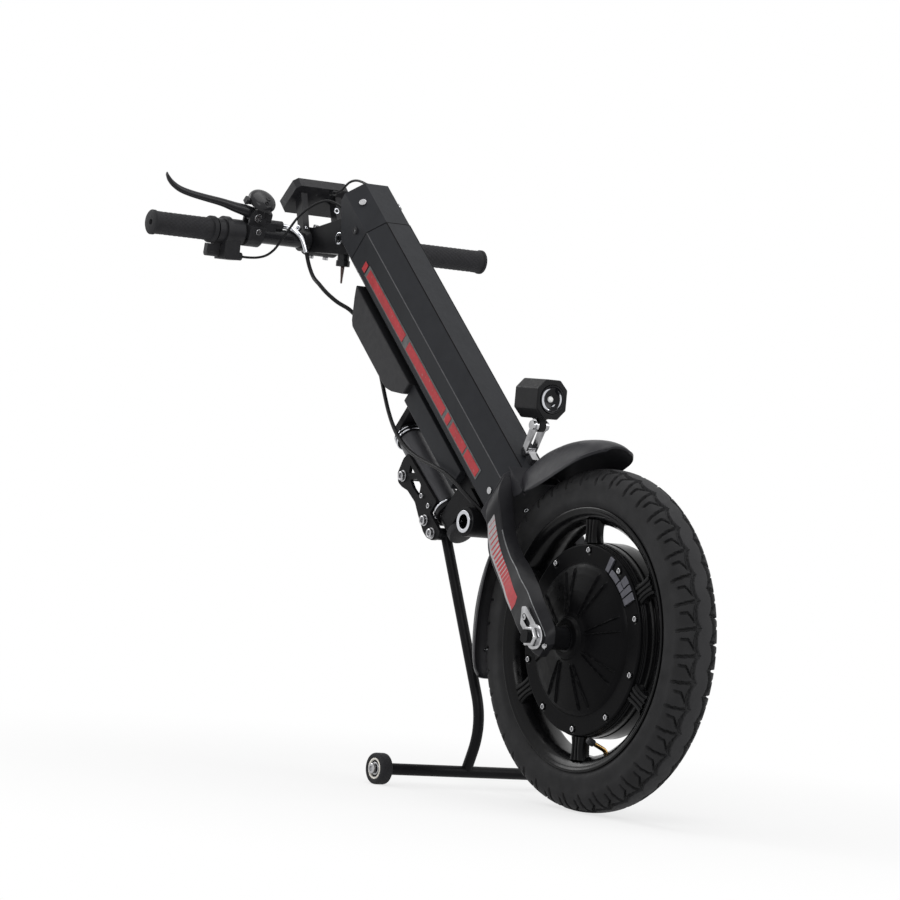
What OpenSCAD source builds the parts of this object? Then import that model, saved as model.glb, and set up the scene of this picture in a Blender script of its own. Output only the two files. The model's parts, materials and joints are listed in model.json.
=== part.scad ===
// Clip-on electric front drive for a manual wheelchair.
// Millimetres. X runs across the wheel with the rider's left positive, the part drives towards -Y, Z is up.
// The origin is on the floor under the axle.

/* [Wheel] */
// outer diameter of the tyre
tyre_d = 424; // [400:1:450]
// width of the tyre section
tyre_w = 62; // [50:1:70]
// thickness of the tyre's casing
tyre_wall = 6; // [4:0.5:9]
// diameter of the bead seat
bead_d = 308; // [290:1:320]
// height of the rim flange above the bead seat
flange_h = 9; // [6:0.5:12]
// thickness of the rim wall
rim_wall = 4; // [3:0.5:6]
// depth of the rim's well below the bead seat
well_depth = 7; // [4:0.5:10]
// outer diameter of the motor drum
drum_d = 242; // [220:1:250]
// wall of the motor drum
drum_wall = 16; // [14:1:20]
// half width of the motor drum
drum_half_w = 22; // [18:1:26]
// spokes between drum and rim
spokes = 6; // [3:1:6]
// width of a spoke
spoke_w = 25; // [20:1:44]
// screws that hold the motor cover
cover_screws = 10; // [6:1:12]
// diameter of the cover's screw circle
cover_pcd = 221; // [210:1:230]
// how far the cover bulges beyond its flange
cover_bulge = 22; // [12:1:26]
// radial ribs on the cover
cover_ribs = 16; // [8:2:24]
// radius of the axle in the wheel bearings
axle_r = 8.5; // [7:0.1:10]
// length of the axle
axle_len = 228; // [220:1:240]
// diameter of the brake disc
disc_d = 160; // [140:1:180]
// thickness of the brake disc
disc_t = 2.3; // [1.8:0.1:3]

/* [Fork] */
// distance of the fork ends' inner faces from the mid plane
dropout_x = 84; // [76:1:90]
// thickness of the fork ends
dropout_t = 11; // [8:1:14]
// inner faces of the blades at the crown, from the mid plane
crown_x = 41.5; // [38:0.5:44]
// thickness of the blades at the crown
blade_t = 20; // [14:1:22]
// half width of the mudguard
guard_half_w = 40; // [36:0.5:41]
// thickness of the mudguard
guard_t = 2.6; // [2:0.1:4]

/* [Column] */
// lean of the column from the vertical
lean = 49.3; // [44:0.1:54]
// width of the battery column
col_w = 80; // [70:1:90]
// depth of the battery column
col_d = 90; // [76:1:96]
// width of the bevel on the column's corners
col_bevel = 21.5; // [14:0.5:26]
// wall of the column
col_wall = 3; // [2:0.5:5]
// lower end of the column, from the axle along the column
col_low = 259; // [250:1:270]
// seam between column and cap
col_seam = 731; // [700:1:760]
// upper end of the cap
col_top = 811; // [790:1:830]
// width of the red side strips
strip_w = 12.8; // [8:0.2:18]
// thickness of each layer of the side strips
strip_t = 0.5; // [0.3:0.1:1]
// depth of the rear spine
spine_t = 18; // [12:1:24]
// half width of the rear spine
spine_half_w = 26; // [20:1:32]
// half width of the controller box
ctrl_half_w = 33; // [28:1:40]
// depth of the controller box
ctrl_d = 43; // [30:1:50]

/* [Steering head and dock] */
// distance of the steering axis behind the column's axis
head_y = 120; // [110:1:130]
// lower end of the head tube
head_low = 357; // [350:1:366]
// length of the head tube
head_len = 129; // [110:1:140]
// outer radius of the head tube
head_r = 17; // [15:0.5:20]
// wall of the head tube
head_wall = 2; // [1.5:0.1:3]
// radius of the steering spindle
spindle_r = 12; // [10:0.5:13]
// thickness of the dock's side plates
plate_t = 5; // [3:0.5:8]
// radius of the bore in the lower cross bushes
cross_bore_r = 9.5; // [8:0.1:10.5]
// outer radius of the lower cross tube
cross_tube_r = 19; // [17:0.5:22]
// half length of the lower cross tube
cross_half = 38; // [32:1:44]
// length of a cross bush below its flange
bush_len = 15; // [10:1:20]

/* [Stand] */
// radius of the stand's tubes
stand_r = 7; // [6:0.5:9]
// diameter of the rollers
roller_d = 40; // [34:1:46]
// width of the rollers
roller_w = 17; // [12:1:22]
// half length of the stand's foot bar
foot_half = 125; // [110:1:140]
// place of the foot bar behind the axle
foot_y = 255; // [235:1:290]

/* [Handlebar] */
// place of the handlebar behind the axle
bar_y = 711; // [680:1:740]
// height of the handlebar
bar_z = 695; // [670:1:720]
// half length over the grips
bar_half = 271; // [250:1:285]
// radius of the handlebar tube
bar_r = 11.1; // [10.5:0.1:12.7]
// wall of the handlebar tube
bar_wall = 2; // [1.5:0.1:3]
// outer radius of the grips
grip_r = 15.5; // [14:0.5:18]
// length of the left grip
grip_left_len = 128; // [90:1:140]
// length of the right grip
grip_right_len = 98; // [80:1:100]
// half width of the stem
stem_half_w = 22; // [18:1:28]
// width of the display
display_w = 88; // [70:1:100]
// height of the display
display_h = 52; // [44:1:60]
// thickness of the display
display_t = 15; // [10:1:20]

/* [Lamp] */
// width of the headlamp
lamp_w = 46; // [38:1:52]
// height of the headlamp
lamp_h = 50; // [40:1:56]
// length of the headlamp
lamp_len = 50; // [42:1:60]
// radius of the lens
lens_r = 16.5; // [12:0.5:18]

/* [Cables] */
// radius of the brake cable
brake_cable_r = 2.8; // [2:0.1:3.5]
// radius of the throttle and display cables
wire_r = 1.7; // [1.5:0.1:2.5]

/* [Hidden] */
$fn = 64;
fit = 0.05;            // gap between pieces that sit in or on each other
run = 0.05;            // radial clearance of a running fit
axle_z = tyre_d/2;
tyre_r = tyre_d/2;
col_datum = 212;                         // tyre radius at which column heights count from the axle
rise = tyre_r - col_datum;               // how far the column moves along its axis with the tyre
lift = [0, rise*sin(lean), rise*(1 + cos(lean))];
bead_r = bead_d/2;
drum_r = drum_d/2;
drum_in = drum_r - drum_wall;
rim_half = tyre_w/2 - 2;                 // outer faces of the rim flanges
cover_r = drum_r - 3;
cover_x = drum_half_w + 5;               // outer face of the cover's flange
boss_x = cover_x + cover_bulge + 4;      // outer end of the cover's bearing boss
bearing_r = 17.5;
bearing_w = 10;
wall_x = drum_half_w + 12;               // outer face of the casting's left wall
left_boss_x = wall_x + 6;
disc_x = left_boss_x + fit;
disc_bolts = 6;
spoke_x = drum_half_w + 1;                // outer face of the spokes
spoke_t = 18;
disc_bolt_r = 22;
magnet_t = 6.5;
air_gap = 1;
screw_r = 2.5;
screw_head_r = 4.2;
screw_head_h = 3.2;
dropout_out = dropout_x + dropout_t;
washer_t = 2.5;
nut_h = 11;
rear_y = col_d/2;
crown_arch_r = tyre_r + 22;
blade_top = col_low + rise - 7;
cap_cut_y = -12;                         // where the cap's slanted rear face starts on its top
spine_low = 345;
spine_high = 509;
spine_back = rear_y + fit + spine_t;
ctrl_low = 510;
ctrl_high = 704;
ctrl_back = rear_y + fit + ctrl_d;
strip_low = 301;
strip_high = 701;
strip_y = 7.8;
head_high = head_low + head_len;
cup_h = 11;
cup_r = head_r + 3;
lug_gap = 2;
lug_t = 27;
lug_up_t = 10.5;
spindle_in = 8;                         // depth of the spindle in the upper lug
lug_half_w = 16;
lug_low_top = head_low - cup_h - lug_gap;
lug_high_low = head_high + cup_h + lug_gap;
cross_y = 69;
cross_z = 276;
plate_x = head_r + fit;                  // inner faces of the dock plates
plate_out = plate_x + plate_t;
pivot_y = 146;                           // stand pivot in the column frame
pivot_z = 334;
pivot_bolt_r = 4;
eye_half = plate_x - 4;
roller_r = roller_d/2;
knee = [0, 234, 90];                    // bend of the stand's leg
perch_turn = 15;                         // lean of the perch towards the front
lever_pivot_z = 25;
lever_t = 11;
paddle_x = grip_right_len + 8 - bar_half;
perch_x = paddle_x + 51;                 // middle of the brake perch on the handlebar
paddle_w = 11;
paddle_rest = 8;
display_lean = 45;
display_mid = [0, 735, 756] + lift;
display_exit = [14, -27, 8.5];           // where the wire leaves the display's boot
boot_len = 9.6;
lamp_mid_z = 504 + lift.z;
lamp_front_y = 142 + lift.y;
lamp_pivot = [0, lamp_front_y + 23, lamp_mid_z - lamp_h/2 - 9];
key_at = [-13, 630, 0];
key_top = 690;
key_r = 8;
key_low = 664;
key_plug_r = 5;

function sgn_pow(v, e) = sign(v)*pow(abs(v), e);
// a point given across the column, behind its axis and along it, in the part's frame
function fork_pt(x, y, z) = [x, z*sin(lean) + y*cos(lean), axle_z + z*cos(lean) - y*sin(lean)];
function col_pt(x, y, z) = fork_pt(x, y, z + rise);
function unit(v) = v/norm(v);
function curve(p0, p1, p2, p3, t) = 0.5*(2*p1 + (p2 - p0)*t + (2*p0 - 5*p1 + 4*p2 - p3)*t*t
    + (3*p1 - p0 - 3*p2 + p3)*t*t*t);
// a smooth line through the route points, with the given steps between two points
function smooth(p, steps) = [for (i = [0:len(p) - 2], k = [0:steps - 1])
    curve(p[max(i - 1, 0)], p[i], p[i + 1], p[min(i + 2, len(p) - 1)], k/steps), p[len(p) - 1]];
function octagon(w, d, b) = [[b - w/2, -d/2], [w/2 - b, -d/2], [w/2, b - d/2], [w/2, d/2 - b],
    [w/2 - b, d/2], [b - w/2, d/2], [-w/2, d/2 - b], [-w/2, b - d/2]];

// closed skin through rings of equal length
module loft(rings) {
    n = len(rings[0]);
    m = len(rings);
    polyhedron([for (r = rings) each r], concat([[for (i = [0:n - 1]) i]],
        [for (j = [0:m - 2], i = [0:n - 1]) each [[j*n + i, (j + 1)*n + i, (j + 1)*n + (i + 1)%n],
            [j*n + i, (j + 1)*n + (i + 1)%n, j*n + (i + 1)%n]]],
        [[for (i = [n - 1:-1:0]) (m - 1)*n + i]]));
}
module cable(route, r, sides, steps) {
    p = smooth(route, steps);
    last = len(p) - 1;
    loft([for (i = [0:last]) let (t = unit(p[min(i + 1, last)] - p[max(i - 1, 0)]),
        u = unit(cross([0.9, 0.1, 0.42], t)), v = cross(t, u))
        [for (k = [0:sides - 1]) p[i] + r*(cos(360*k/sides)*u + sin(360*k/sides)*v)]]);
}
module in_fork() translate([0, 0, axle_z]) rotate([-lean, 0, 0]) children();
module in_col() in_fork() translate([0, 0, rise]) children();
module about_axle() translate([0, 0, axle_z]) rotate([0, 90, 0]) children();
module across(x0, x1, r) translate([x0, 0, 0]) rotate([0, 90, 0]) cylinder(h = x1 - x0, r = r);
module pipe(x0, x1, r_in, r_out) difference() {
    across(x0, x1, r_out);
    across(x0 - 1, x1 + 1, r_in);
}
module tube_z(z0, z1, r_in, r_out) translate([0, 0, z0]) difference() {
    cylinder(h = z1 - z0, r = r_out);
    translate([0, 0, -1]) cylinder(h = z1 - z0 + 2, r = r_in);
}
module rod(a, b, r) {
    d = b - a;
    translate(a) rotate([0, acos(d.z/norm(d)), atan2(d.y, d.x)]) cylinder(h = norm(d), r = r);
}
// side profile, in columns of [y, z], carried across the mid plane
module side_profile(pts, half) translate([-half, 0, 0]) rotate([90, 0, 90])
    linear_extrude(2*half) polygon(pts);
module around(count, start = 0) for (k = [0:count - 1]) rotate(start + 360*k/count) children();
module on_bar() translate([0, bar_y, bar_z] + lift) children();
module on_perch() on_bar() rotate([perch_turn, 0, 0]) children();

// wheel

module tyre() color("#2b2c2e") about_axle() {
    half = tyre_w/2;
    flange_top = bead_r + flange_h + 0.4;
    side_low = flange_top + 4.3;             // where the side wall turns in to the bead
    half_h = (tyre_r - side_low)/(1 - sgn_pow(cos(112), 0.86));
    mid = tyre_r - half_h;
    crown_t = min(tyre_wall, half_h/2);
    difference() {
        rotate_extrude($fn = 128) polygon(concat([[bead_r + fit, -rim_half + 3.4], [flange_top, -rim_half + 3.4]],
            [for (a = [-112:14:112]) [mid + half_h*sgn_pow(cos(a), 0.86), half*sgn_pow(sin(a), 0.86)]],
            [[flange_top, rim_half - 3.4], [bead_r + fit, rim_half - 3.4], [bead_r + fit, rim_half - 10]],
            [for (a = [104:-26:-104]) [mid + (half_h - crown_t)*cos(a), (half - tyre_wall)*sin(a)]],
            [[bead_r + fit, 10 - rim_half]]));
        for (side = [0, 1], k = [0:23]) rotate(15*k + 7.5*side) mirror([0, 0, side])
            translate([tyre_r - 4, 0, 10]) rotate([25, 0, 0]) translate([0, -2.5, 0]) cube([8, 5, 24]);
    }
}
module wheel_casting() color("#1d1e20") about_axle() difference() {
    union() {
        rotate_extrude($fn = 128) polygon([[bead_r + flange_h, -rim_half], [bead_r + flange_h, 3 - rim_half],
            [bead_r, 3.3 - rim_half], [bead_r, 12 - rim_half], [bead_r - well_depth, 16 - rim_half],
            [bead_r - well_depth, rim_half - 16], [bead_r, rim_half - 12], [bead_r, rim_half - 3.3],
            [bead_r + flange_h, rim_half - 3], [bead_r + flange_h, rim_half],
            [bead_r - rim_wall, rim_half], [bead_r - well_depth - rim_wall, rim_half - 14],
            [bead_r - well_depth - rim_wall, 14 - rim_half], [bead_r - rim_wall, -rim_half]]);
        rotate_extrude($fn = 128) polygon([[drum_in, -drum_half_w], [drum_r, -drum_half_w],
            [drum_r, drum_half_w], [drum_r - 8, wall_x - 4], [60, wall_x], [32, wall_x + 1],
            [32, left_boss_x], [bearing_r, left_boss_x], [bearing_r, left_boss_x - bearing_w - 1],
            [axle_r + 5.5, left_boss_x - bearing_w - 1], [axle_r + 5.5, wall_x - 9], [drum_in, wall_x - 9]]);
        around(spokes, -182.5) translate([drum_r - 1, -spoke_w/2, -spoke_x])
            cube([bead_r - 6 - drum_r + 1, spoke_w, spoke_t]);
        around(spokes, -182.5) for (s = [-1, 0, 1]) translate([drum_r - 1, spoke_w*s/3.6 - 1.5, -spoke_x - 2])
            cube([bead_r - 6 - drum_r + 1, 3, 4]);
    }
    around(cover_screws) translate([cover_pcd/2, 0, -drum_half_w - 1]) cylinder(h = 15, r = screw_r + fit, $fn = 24);
    around(disc_bolts) translate([disc_bolt_r, 0, left_boss_x - 10]) cylinder(h = 12, r = screw_r + fit, $fn = 24);
    rotate(valve_turn) translate([bead_r - well_depth - rim_wall - 3, 0, 0]) rotate([0, 90, 0])
        cylinder(h = 14, r = valve_r + fit, $fn = 24);
}
valve_turn = -15;
valve_r = 3.6;
module valve() color("#b08d57") about_axle() rotate(valve_turn) {
    // brass stem from the rim well, turned to the right and closed with a cap
    base = bead_r - well_depth + 2;
    cable([[base, 0, 0], [base - 8, 0, 0], [base - 12, 0, -2], [base - 15, 0, -7], [base - 21, 0, -20]], valve_r, 16, 2);
    translate([base - 20.5, 0, -19]) rotate([0, 208, 0]) cylinder(h = 10, r = valve_r + 1, $fn = 24);
}
module motor_cover() color("#232427") about_axle() mirror([0, 0, 1]) difference() {
    union() {
        rotate_extrude($fn = 128) polygon([[cover_r, drum_half_w + fit], [cover_r, cover_x - 1.5],
            [cover_r - 2, cover_x], [100, cover_x], [92, cover_x + 4], [34, cover_x + cover_bulge - 4],
            [25, cover_x + cover_bulge + 3], [24, boss_x], [bearing_r, boss_x],
            [bearing_r, boss_x - bearing_w - 1], [axle_r + 4, boss_x - bearing_w - 1],
            [axle_r + 4, boss_x - bearing_w - 4], [34, cover_x + cover_bulge - 10],
            [90, cover_x - 3], [96, drum_half_w + fit]]);
        around(cover_ribs) rotate([90, 0, 0]) translate([0, 0, -1]) linear_extrude(2)
            polygon([[33, cover_x + cover_bulge - 7], [92, cover_x + 1], [92, cover_x + 5.5],
                [60, cover_x + 14], [33, cover_x + cover_bulge - 1]]);
        for (k = [0:5]) rotate(-147 + 5.4*k) translate([100, -3, cover_x - 1]) cube([4.8, 5.5, 3.5]);
    }
    around(cover_screws) translate([cover_pcd/2, 0, drum_half_w - 1]) cylinder(h = 10, r = screw_r + fit, $fn = 24);
}
module wheel_screws() color("#b9bbbe") about_axle() {
    around(cover_screws) translate([cover_pcd/2, 0, 0]) {
        translate([0, 0, -cover_x - fit - screw_head_h]) cylinder(h = screw_head_h, r = screw_head_r, $fn = 32);
        translate([0, 0, -cover_x - fit - 1]) cylinder(h = 15, r = screw_r, $fn = 24);
    }
    around(disc_bolts) translate([disc_bolt_r, 0, 0]) {
        translate([0, 0, disc_x + disc_t + fit]) cylinder(h = screw_head_h, r = screw_head_r, $fn = 32);
        translate([0, 0, left_boss_x - 9]) cylinder(h = disc_t + 9.5, r = screw_r, $fn = 24);
    }
}
module magnet_ring() color("#6d6f73") about_axle() tube_z(-drum_half_w + 4, drum_half_w - 4,
    drum_in - fit - magnet_t, drum_in - fit);
module hub_bearings() color("#c7c9cc") about_axle() {
    tube_z(-boss_x + 0.5, -boss_x + 0.5 + bearing_w, axle_r, bearing_r - fit);
    tube_z(left_boss_x - 0.5 - bearing_w, left_boss_x - 0.5, axle_r, bearing_r - fit);
}
module brake_disc() color("#a9acb0") about_axle() translate([0, 0, disc_x]) difference() {
    cylinder(h = disc_t, r = disc_d/2, $fn = 96);
    translate([0, 0, -1]) cylinder(h = disc_t + 2, r = bearing_r);
    around(disc_bolts) translate([disc_bolt_r, 0, -1]) cylinder(h = disc_t + 2, r = screw_r + fit, $fn = 24);
    around(6, 30) translate([43, 0, -1]) cylinder(h = disc_t + 2, r = 13, $fn = 32);
    around(18) translate([disc_d/2 - 8, 0, -1]) cylinder(h = disc_t + 2, r = 3, $fn = 24);
}
module axle() color("#9a9da1") translate([0, 0, axle_z]) {
    mid_low = -boss_x + 0.5 + bearing_w + 0.4;
    mid_high = left_boss_x - 0.5 - bearing_w - 0.4;
    across(mid_low, mid_high, axle_r + 3.5);
    difference() {
        across(-axle_len/2, axle_len/2, axle_r - run);
        // flats that hold the axle against turning in the torque washers
        for (s = [-1, 1], x = [-1, 1]) translate([x*(axle_len/2 - 9), s*(axle_r + 8.5), 0])
            cube([20, 20, 20], center = true);
    }
}
module axle_hardware() color("#c9cbce") translate([0, 0, axle_z]) {
    // spacers between bearings and fork ends, torque washers, nuts
    pipe(-dropout_x + fit, -boss_x - 0.3, axle_r, axle_r + 6);
    pipe(left_boss_x + 0.3, dropout_x - fit, axle_r, axle_r + 4);
    for (s = [-1, 1]) {
        x0 = s > 0 ? dropout_out + fit : -dropout_out - fit - washer_t;
        rotate([-lean, 0, 0]) difference() {
            union() {
                translate([x0, -11, 0]) cube([washer_t, 22, 36]);
                across(x0, x0 + washer_t, 13);
                translate([0, 0, 36]) across(x0, x0 + washer_t, 11);
            }
            across(x0 - 1, x0 + washer_t + 1, axle_r);
            translate([x0 - 1, -4, 22]) cube([washer_t + 2, 8, 12]);
            translate([0, 0, 22]) across(x0 - 1, x0 + washer_t + 1, 4);
            translate([0, 0, 34]) across(x0 - 1, x0 + washer_t + 1, 4);
        }
        n0 = s > 0 ? dropout_out + washer_t + 2*fit : -dropout_out - washer_t - 2*fit - nut_h;
        difference() {
            union() {
                translate([n0, 0, 0]) rotate([0, 90, 0]) cylinder(h = nut_h, r = 13.5, $fn = 6);
                across(s > 0 ? n0 : n0 + nut_h - 2.5, (s > 0 ? n0 : n0 + nut_h - 2.5) + 2.5, 16);
            }
            across(n0 - 1, n0 + nut_h + 1, axle_r);
        }
    }
}
module stator() color("#7a4a2c") about_axle() {
    stack = drum_half_w - 6;
    out_r = drum_in - magnet_t - fit - air_gap;
    difference() {
        union() {
            tube_z(-stack, stack, out_r - 34, out_r);
            tube_z(-stack, stack, axle_r + 3.5 + fit, axle_r + 14);
            around(6) translate([axle_r + 12, -6, 3 - stack]) cube([out_r - 34 - axle_r - 10, 12, 2*stack - 6]);
        }
        around(36, 5) translate([out_r - 22, -2, -stack - 1]) cube([30, 4, 2*stack + 2]);
    }
}

// fork, crown and mudguard

module fork_crown() color("#303134") in_fork() difference() {
    translate([0, 0, crown_arch_r - 30]) linear_extrude(col_low + rise - fit - crown_arch_r + 30)
        polygon(octagon(2*(crown_x - fit), col_d + 2, col_bevel - 8));
    across(-60, 60, crown_arch_r);
}
// stations of a blade: height, front, rear, inner face, outer face, width of the front bevel
function blade_stations() = [
    [blade_top, -34, 40, crown_x, crown_x + 4, 3],
    [blade_top - 12, -32, 43, crown_x, crown_x + 13, 10],
    [blade_top*0.9048, -28, 44, crown_x, crown_x + blade_t, 16],
    [blade_top*0.7937, -17, 41, crown_x + 1, crown_x + blade_t + 1, 17],
    [blade_top*0.6548, -8, 37, crown_x + 4, crown_x + blade_t + 4, 16],
    [blade_top*0.5079, -6, 35, crown_x + 11, crown_x + blade_t + 10, 16],
    [blade_top*0.3651, -10, 34, crown_x + 22, crown_x + blade_t + 20, 15],
    [blade_top*0.246, -15, 31, dropout_x - 10, dropout_out - 7, 13],
    [36, -18, 27, dropout_x - 2, dropout_out - 1, 11],
    [22, -19, 25, dropout_x, dropout_out, 10],
    [-12, -19, 23, dropout_x, dropout_out, 9],
    [-22, -12, 16, dropout_x, dropout_out, 6]];
module blade() in_fork() difference() {
    loft([for (k = [len(blade_stations()) - 1:-1:0]) let (s = blade_stations()[k])
        [[s[3], s[1], s[0]], [s[4], s[1] + s[5], s[0]], [s[4], s[2] - 4, s[0]], [s[4] - 3, s[2], s[0]],
         [s[3], s[2], s[0]]]]);
    across(dropout_x - 20, dropout_out + 5, axle_r + 0.1);
}
module fork_right() color("#303134") mirror([1, 0, 0]) blade();
module fork_left() color("#303134") blade();

// one station of the mudguard: angle from the rear, crest and edge above the tyre, half width
function guard_ring(a, crest, edge, half) = let (n = 8, rad = function(x) tyre_r + edge + (crest - edge)*(1 - pow(abs(x/half), 2.4)))
    [for (k = [0:2*n + 1]) let (out = k <= n, i = out ? k : 2*n + 1 - k, x = half*(1 - 2*i/n),
        r = rad(x) - (out ? 0 : guard_t)) [x, r*cos(a), axle_z + r*sin(a)]];
module mudguard_front() color("#303134") {
    first = 90 - lean + asin((rear_y + 2.4)/(tyre_r + 36));
    loft([guard_ring(first, 44, 10, guard_half_w - 1), guard_ring(first + 8, 47, 7, guard_half_w),
        guard_ring(68, 46, 7, guard_half_w + 2), guard_ring(75, 42, 10, guard_half_w + 3),
        guard_ring(81, 38, 14, guard_half_w + 3), guard_ring(86, 33, 18, guard_half_w),
        guard_ring(89, 28, 20, guard_half_w - 8)]);
}
module mudguard_rear() color("#303134") {
    last = 90 - lean - asin((rear_y + 2.2)/(tyre_r + 28));
    loft([guard_ring(-17, 26, 4, guard_half_w - 10), guard_ring(-14, 29, -1, guard_half_w - 2),
        guard_ring(-6, 32, -4, guard_half_w), guard_ring(6, 33, -5, guard_half_w),
        guard_ring(18, 30, -3, guard_half_w - 0.5), guard_ring(last, 23, 1, guard_half_w - 1)]);
}

// battery column

module column_tube() color("#33343a") in_col() translate([0, 0, col_low]) difference() {
    linear_extrude(col_seam - col_low) polygon(octagon(col_w, col_d, col_bevel));
    translate([0, 0, -1]) linear_extrude(col_seam - col_low + 2)
        polygon(octagon(col_w - 2*col_wall, col_d - 2*col_wall, col_bevel - col_wall*0.6));
    for (s = [-1, 1]) translate([0, 2.7, 5.5]) across(s > 0 ? col_w/2 - 8 : -col_w/2 - 2,
        s > 0 ? col_w/2 + 2 : -col_w/2 + 8, screw_r + fit);
}
module column_cap() color("#33343a") in_col() difference() {
    translate([0, 0, col_seam + fit]) linear_extrude(col_top - col_seam) polygon(octagon(col_w, col_d, col_bevel));
    side_profile([[cap_cut_y, col_top + 1], [rear_y + 0.5, col_seam + 12], [rear_y + 20, col_seam + 12],
        [rear_y + 20, col_top + 1]], col_w);
    translate([0, 0, col_seam - 1]) linear_extrude(18)
        polygon(octagon(col_w - 2*col_wall, col_d - 2*col_wall, col_bevel - col_wall*0.6));
    for (s = [0, 1]) mirror([s, 0, 0]) {
        translate([0, cap_side_screw[0], cap_side_screw[1]]) across(col_w/2 - 9, col_w/2 + 1, screw_r + fit);
        on_cap_bevel() across(-8, 1, screw_r + fit);
    }
}
cap_side_screw = [-8.6, col_seam + 20.6];
cap_bevel_screw_z = col_top - 30;
module on_cap_bevel() translate([(col_w - col_bevel)/2, (col_bevel - col_d)/2, cap_bevel_screw_z]) rotate(-45) children();
module column_screws() color("#b9bbbe") in_col() {
    // screws in the sides of cap and foot, nut under the spindle
    for (p = [cap_side_screw, [2.7, col_low + 5.5]], s = [0, 1]) mirror([s, 0, 0]) translate([col_w/2, p[0], p[1]]) {
        across(fit, fit + 2, 4.5);
        across(-6, 1, screw_r);
    }
    for (s = [0, 1]) mirror([s, 0, 0]) on_cap_bevel() {
        across(fit, fit + 2.2, 5);
        across(-6, 1, screw_r);
    }
    translate([0, head_y, 0]) tube_z(lug_low_top - lug_t - 8, lug_low_top - lug_t - fit, spindle_r + fit, spindle_r + 5);
}
module battery_pack() color("#2f5f9e") in_col() translate([0, 0, col_low + 12])
    linear_extrude(col_seam - col_low - 60) polygon(octagon(col_w - 2*col_wall - 1, col_d - 2*col_wall - 1, col_bevel - 2));
module strip_bases() color("#9fa1a4") in_col() for (s = [-1, 1])
    translate([s > 0 ? col_w/2 + fit : -col_w/2 - fit - strip_t, strip_y - strip_w/2 - 2, strip_low - 3])
        cube([strip_t, strip_w + 4, strip_high - strip_low - 8]);
module strip_reds() color("#b8323c") in_col() for (s = [-1, 1],
        p = [[strip_low, 340], [344, 390], [396, 408], [415, 542], [556, 684], [692, strip_high]])
    translate([s > 0 ? col_w/2 + 2*fit + strip_t : -col_w/2 - 2*fit - 2*strip_t, strip_y - strip_w/2, p[0]])
        cube([strip_t, strip_w, p[1] - p[0]]);
module rear_spine() color("#3a3b3f") in_col() difference() {
    translate([0, 0, spine_low]) linear_extrude(spine_high - spine_low)
        polygon([[-spine_half_w, rear_y + fit + 2], [-spine_half_w + 2, rear_y + fit], [spine_half_w - 2, rear_y + fit],
            [spine_half_w, rear_y + fit + 2], [spine_half_w, spine_back - 2], [spine_half_w - 2, spine_back],
            [2 - spine_half_w, spine_back], [-spine_half_w, spine_back - 2]]);
}
module controller_box() color("#2e2f32") in_col() side_profile([[rear_y + fit, ctrl_low], [ctrl_back - 25, ctrl_low],
    [ctrl_back - 21, ctrl_low + 4], [ctrl_back - 6, ctrl_low + 25], [ctrl_back - 1, ctrl_low + 36], [ctrl_back, ctrl_low + 46],
    [ctrl_back, ctrl_high - 36], [ctrl_back - 5, ctrl_high - 28], [rear_y + 14, ctrl_high - 9], [rear_y + fit, ctrl_high]],
    ctrl_half_w);
module lug(z0, t, from) difference() {
    union() {
        translate([-lug_half_w, from, z0]) cube([2*lug_half_w, head_y - from, t]);
        translate([0, head_y, z0]) cylinder(h = t, r = lug_half_w);
    }
    translate([0, head_y, z0 - 1]) cylinder(h = spindle_in + 1 + fit, r = spindle_r + fit);
}
module upper_lug() color("#303134") in_col() difference() {
    lug(lug_high_low, lug_up_t, rear_y + fit);
    translate([-spine_half_w - 1, rear_y, lug_high_low - 1]) cube([2*spine_half_w + 2, spine_t + 2*fit, lug_up_t + 2]);
}
module lower_lug() color("#303134") in_col() difference() {
    union() {
        lug(lug_low_top - lug_t, lug_t, rear_y + fit);
        translate([-lug_half_w - 4, rear_y + 4, cross_z]) cube([2*lug_half_w + 8, 46, lug_low_top - lug_t - cross_z + 2]);
        translate([0, cross_y, cross_z]) across(-cross_half, cross_half, cross_tube_r);
    }
    translate([0, head_y, cross_z - 30]) cylinder(h = 110, r = spindle_r + fit);
    translate([0, head_y, cross_z - 30]) cylinder(h = lug_low_top - lug_t - cross_z + 30, r = spindle_r + 5.4);
    translate([0, cross_y, cross_z]) across(-cross_half - 1, cross_half + 1, cross_bore_r + 2.5);
}
module cross_bushes() color("#d3d5d8") in_col() translate([0, cross_y, cross_z]) for (s = [0, 1]) mirror([s, 0, 0]) {
    difference() {
        union() {
            across(cross_half + fit, cross_half + 3, cross_bore_r + 5);
            across(cross_half - bush_len, cross_half + 1, cross_bore_r + 2.5 - fit);
        }
        across(cross_half - bush_len - 1, cross_half + 4, cross_bore_r);
    }
}
module steer_spindle() color("#8e9195") in_col() translate([0, head_y, lug_low_top - lug_t - 9])
    cylinder(h = lug_high_low + spindle_in - lug_low_top + lug_t + 9, r = spindle_r);

// steering head and dock

module head_tube() color("#303134") in_col() translate([0, head_y, 0])
    tube_z(head_low, head_high, head_r - head_wall, head_r);
module headset_cups() color("#d3d5d8") in_col() translate([0, head_y, 0]) {
    tube_z(head_high + fit, head_high + cup_h, head_r - head_wall, cup_r);
    tube_z(head_low - cup_h, head_low - fit, head_r - head_wall, cup_r);
}
module headset_bearings() color("#c7c9cc") in_col() translate([0, head_y, 0]) {
    tube_z(head_high + 1, head_high + cup_h - 0.5, spindle_r + run, head_r - head_wall - fit);
    tube_z(head_low - cup_h + 0.5, head_low - 1, spindle_r + run, head_r - head_wall - fit);
}
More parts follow.
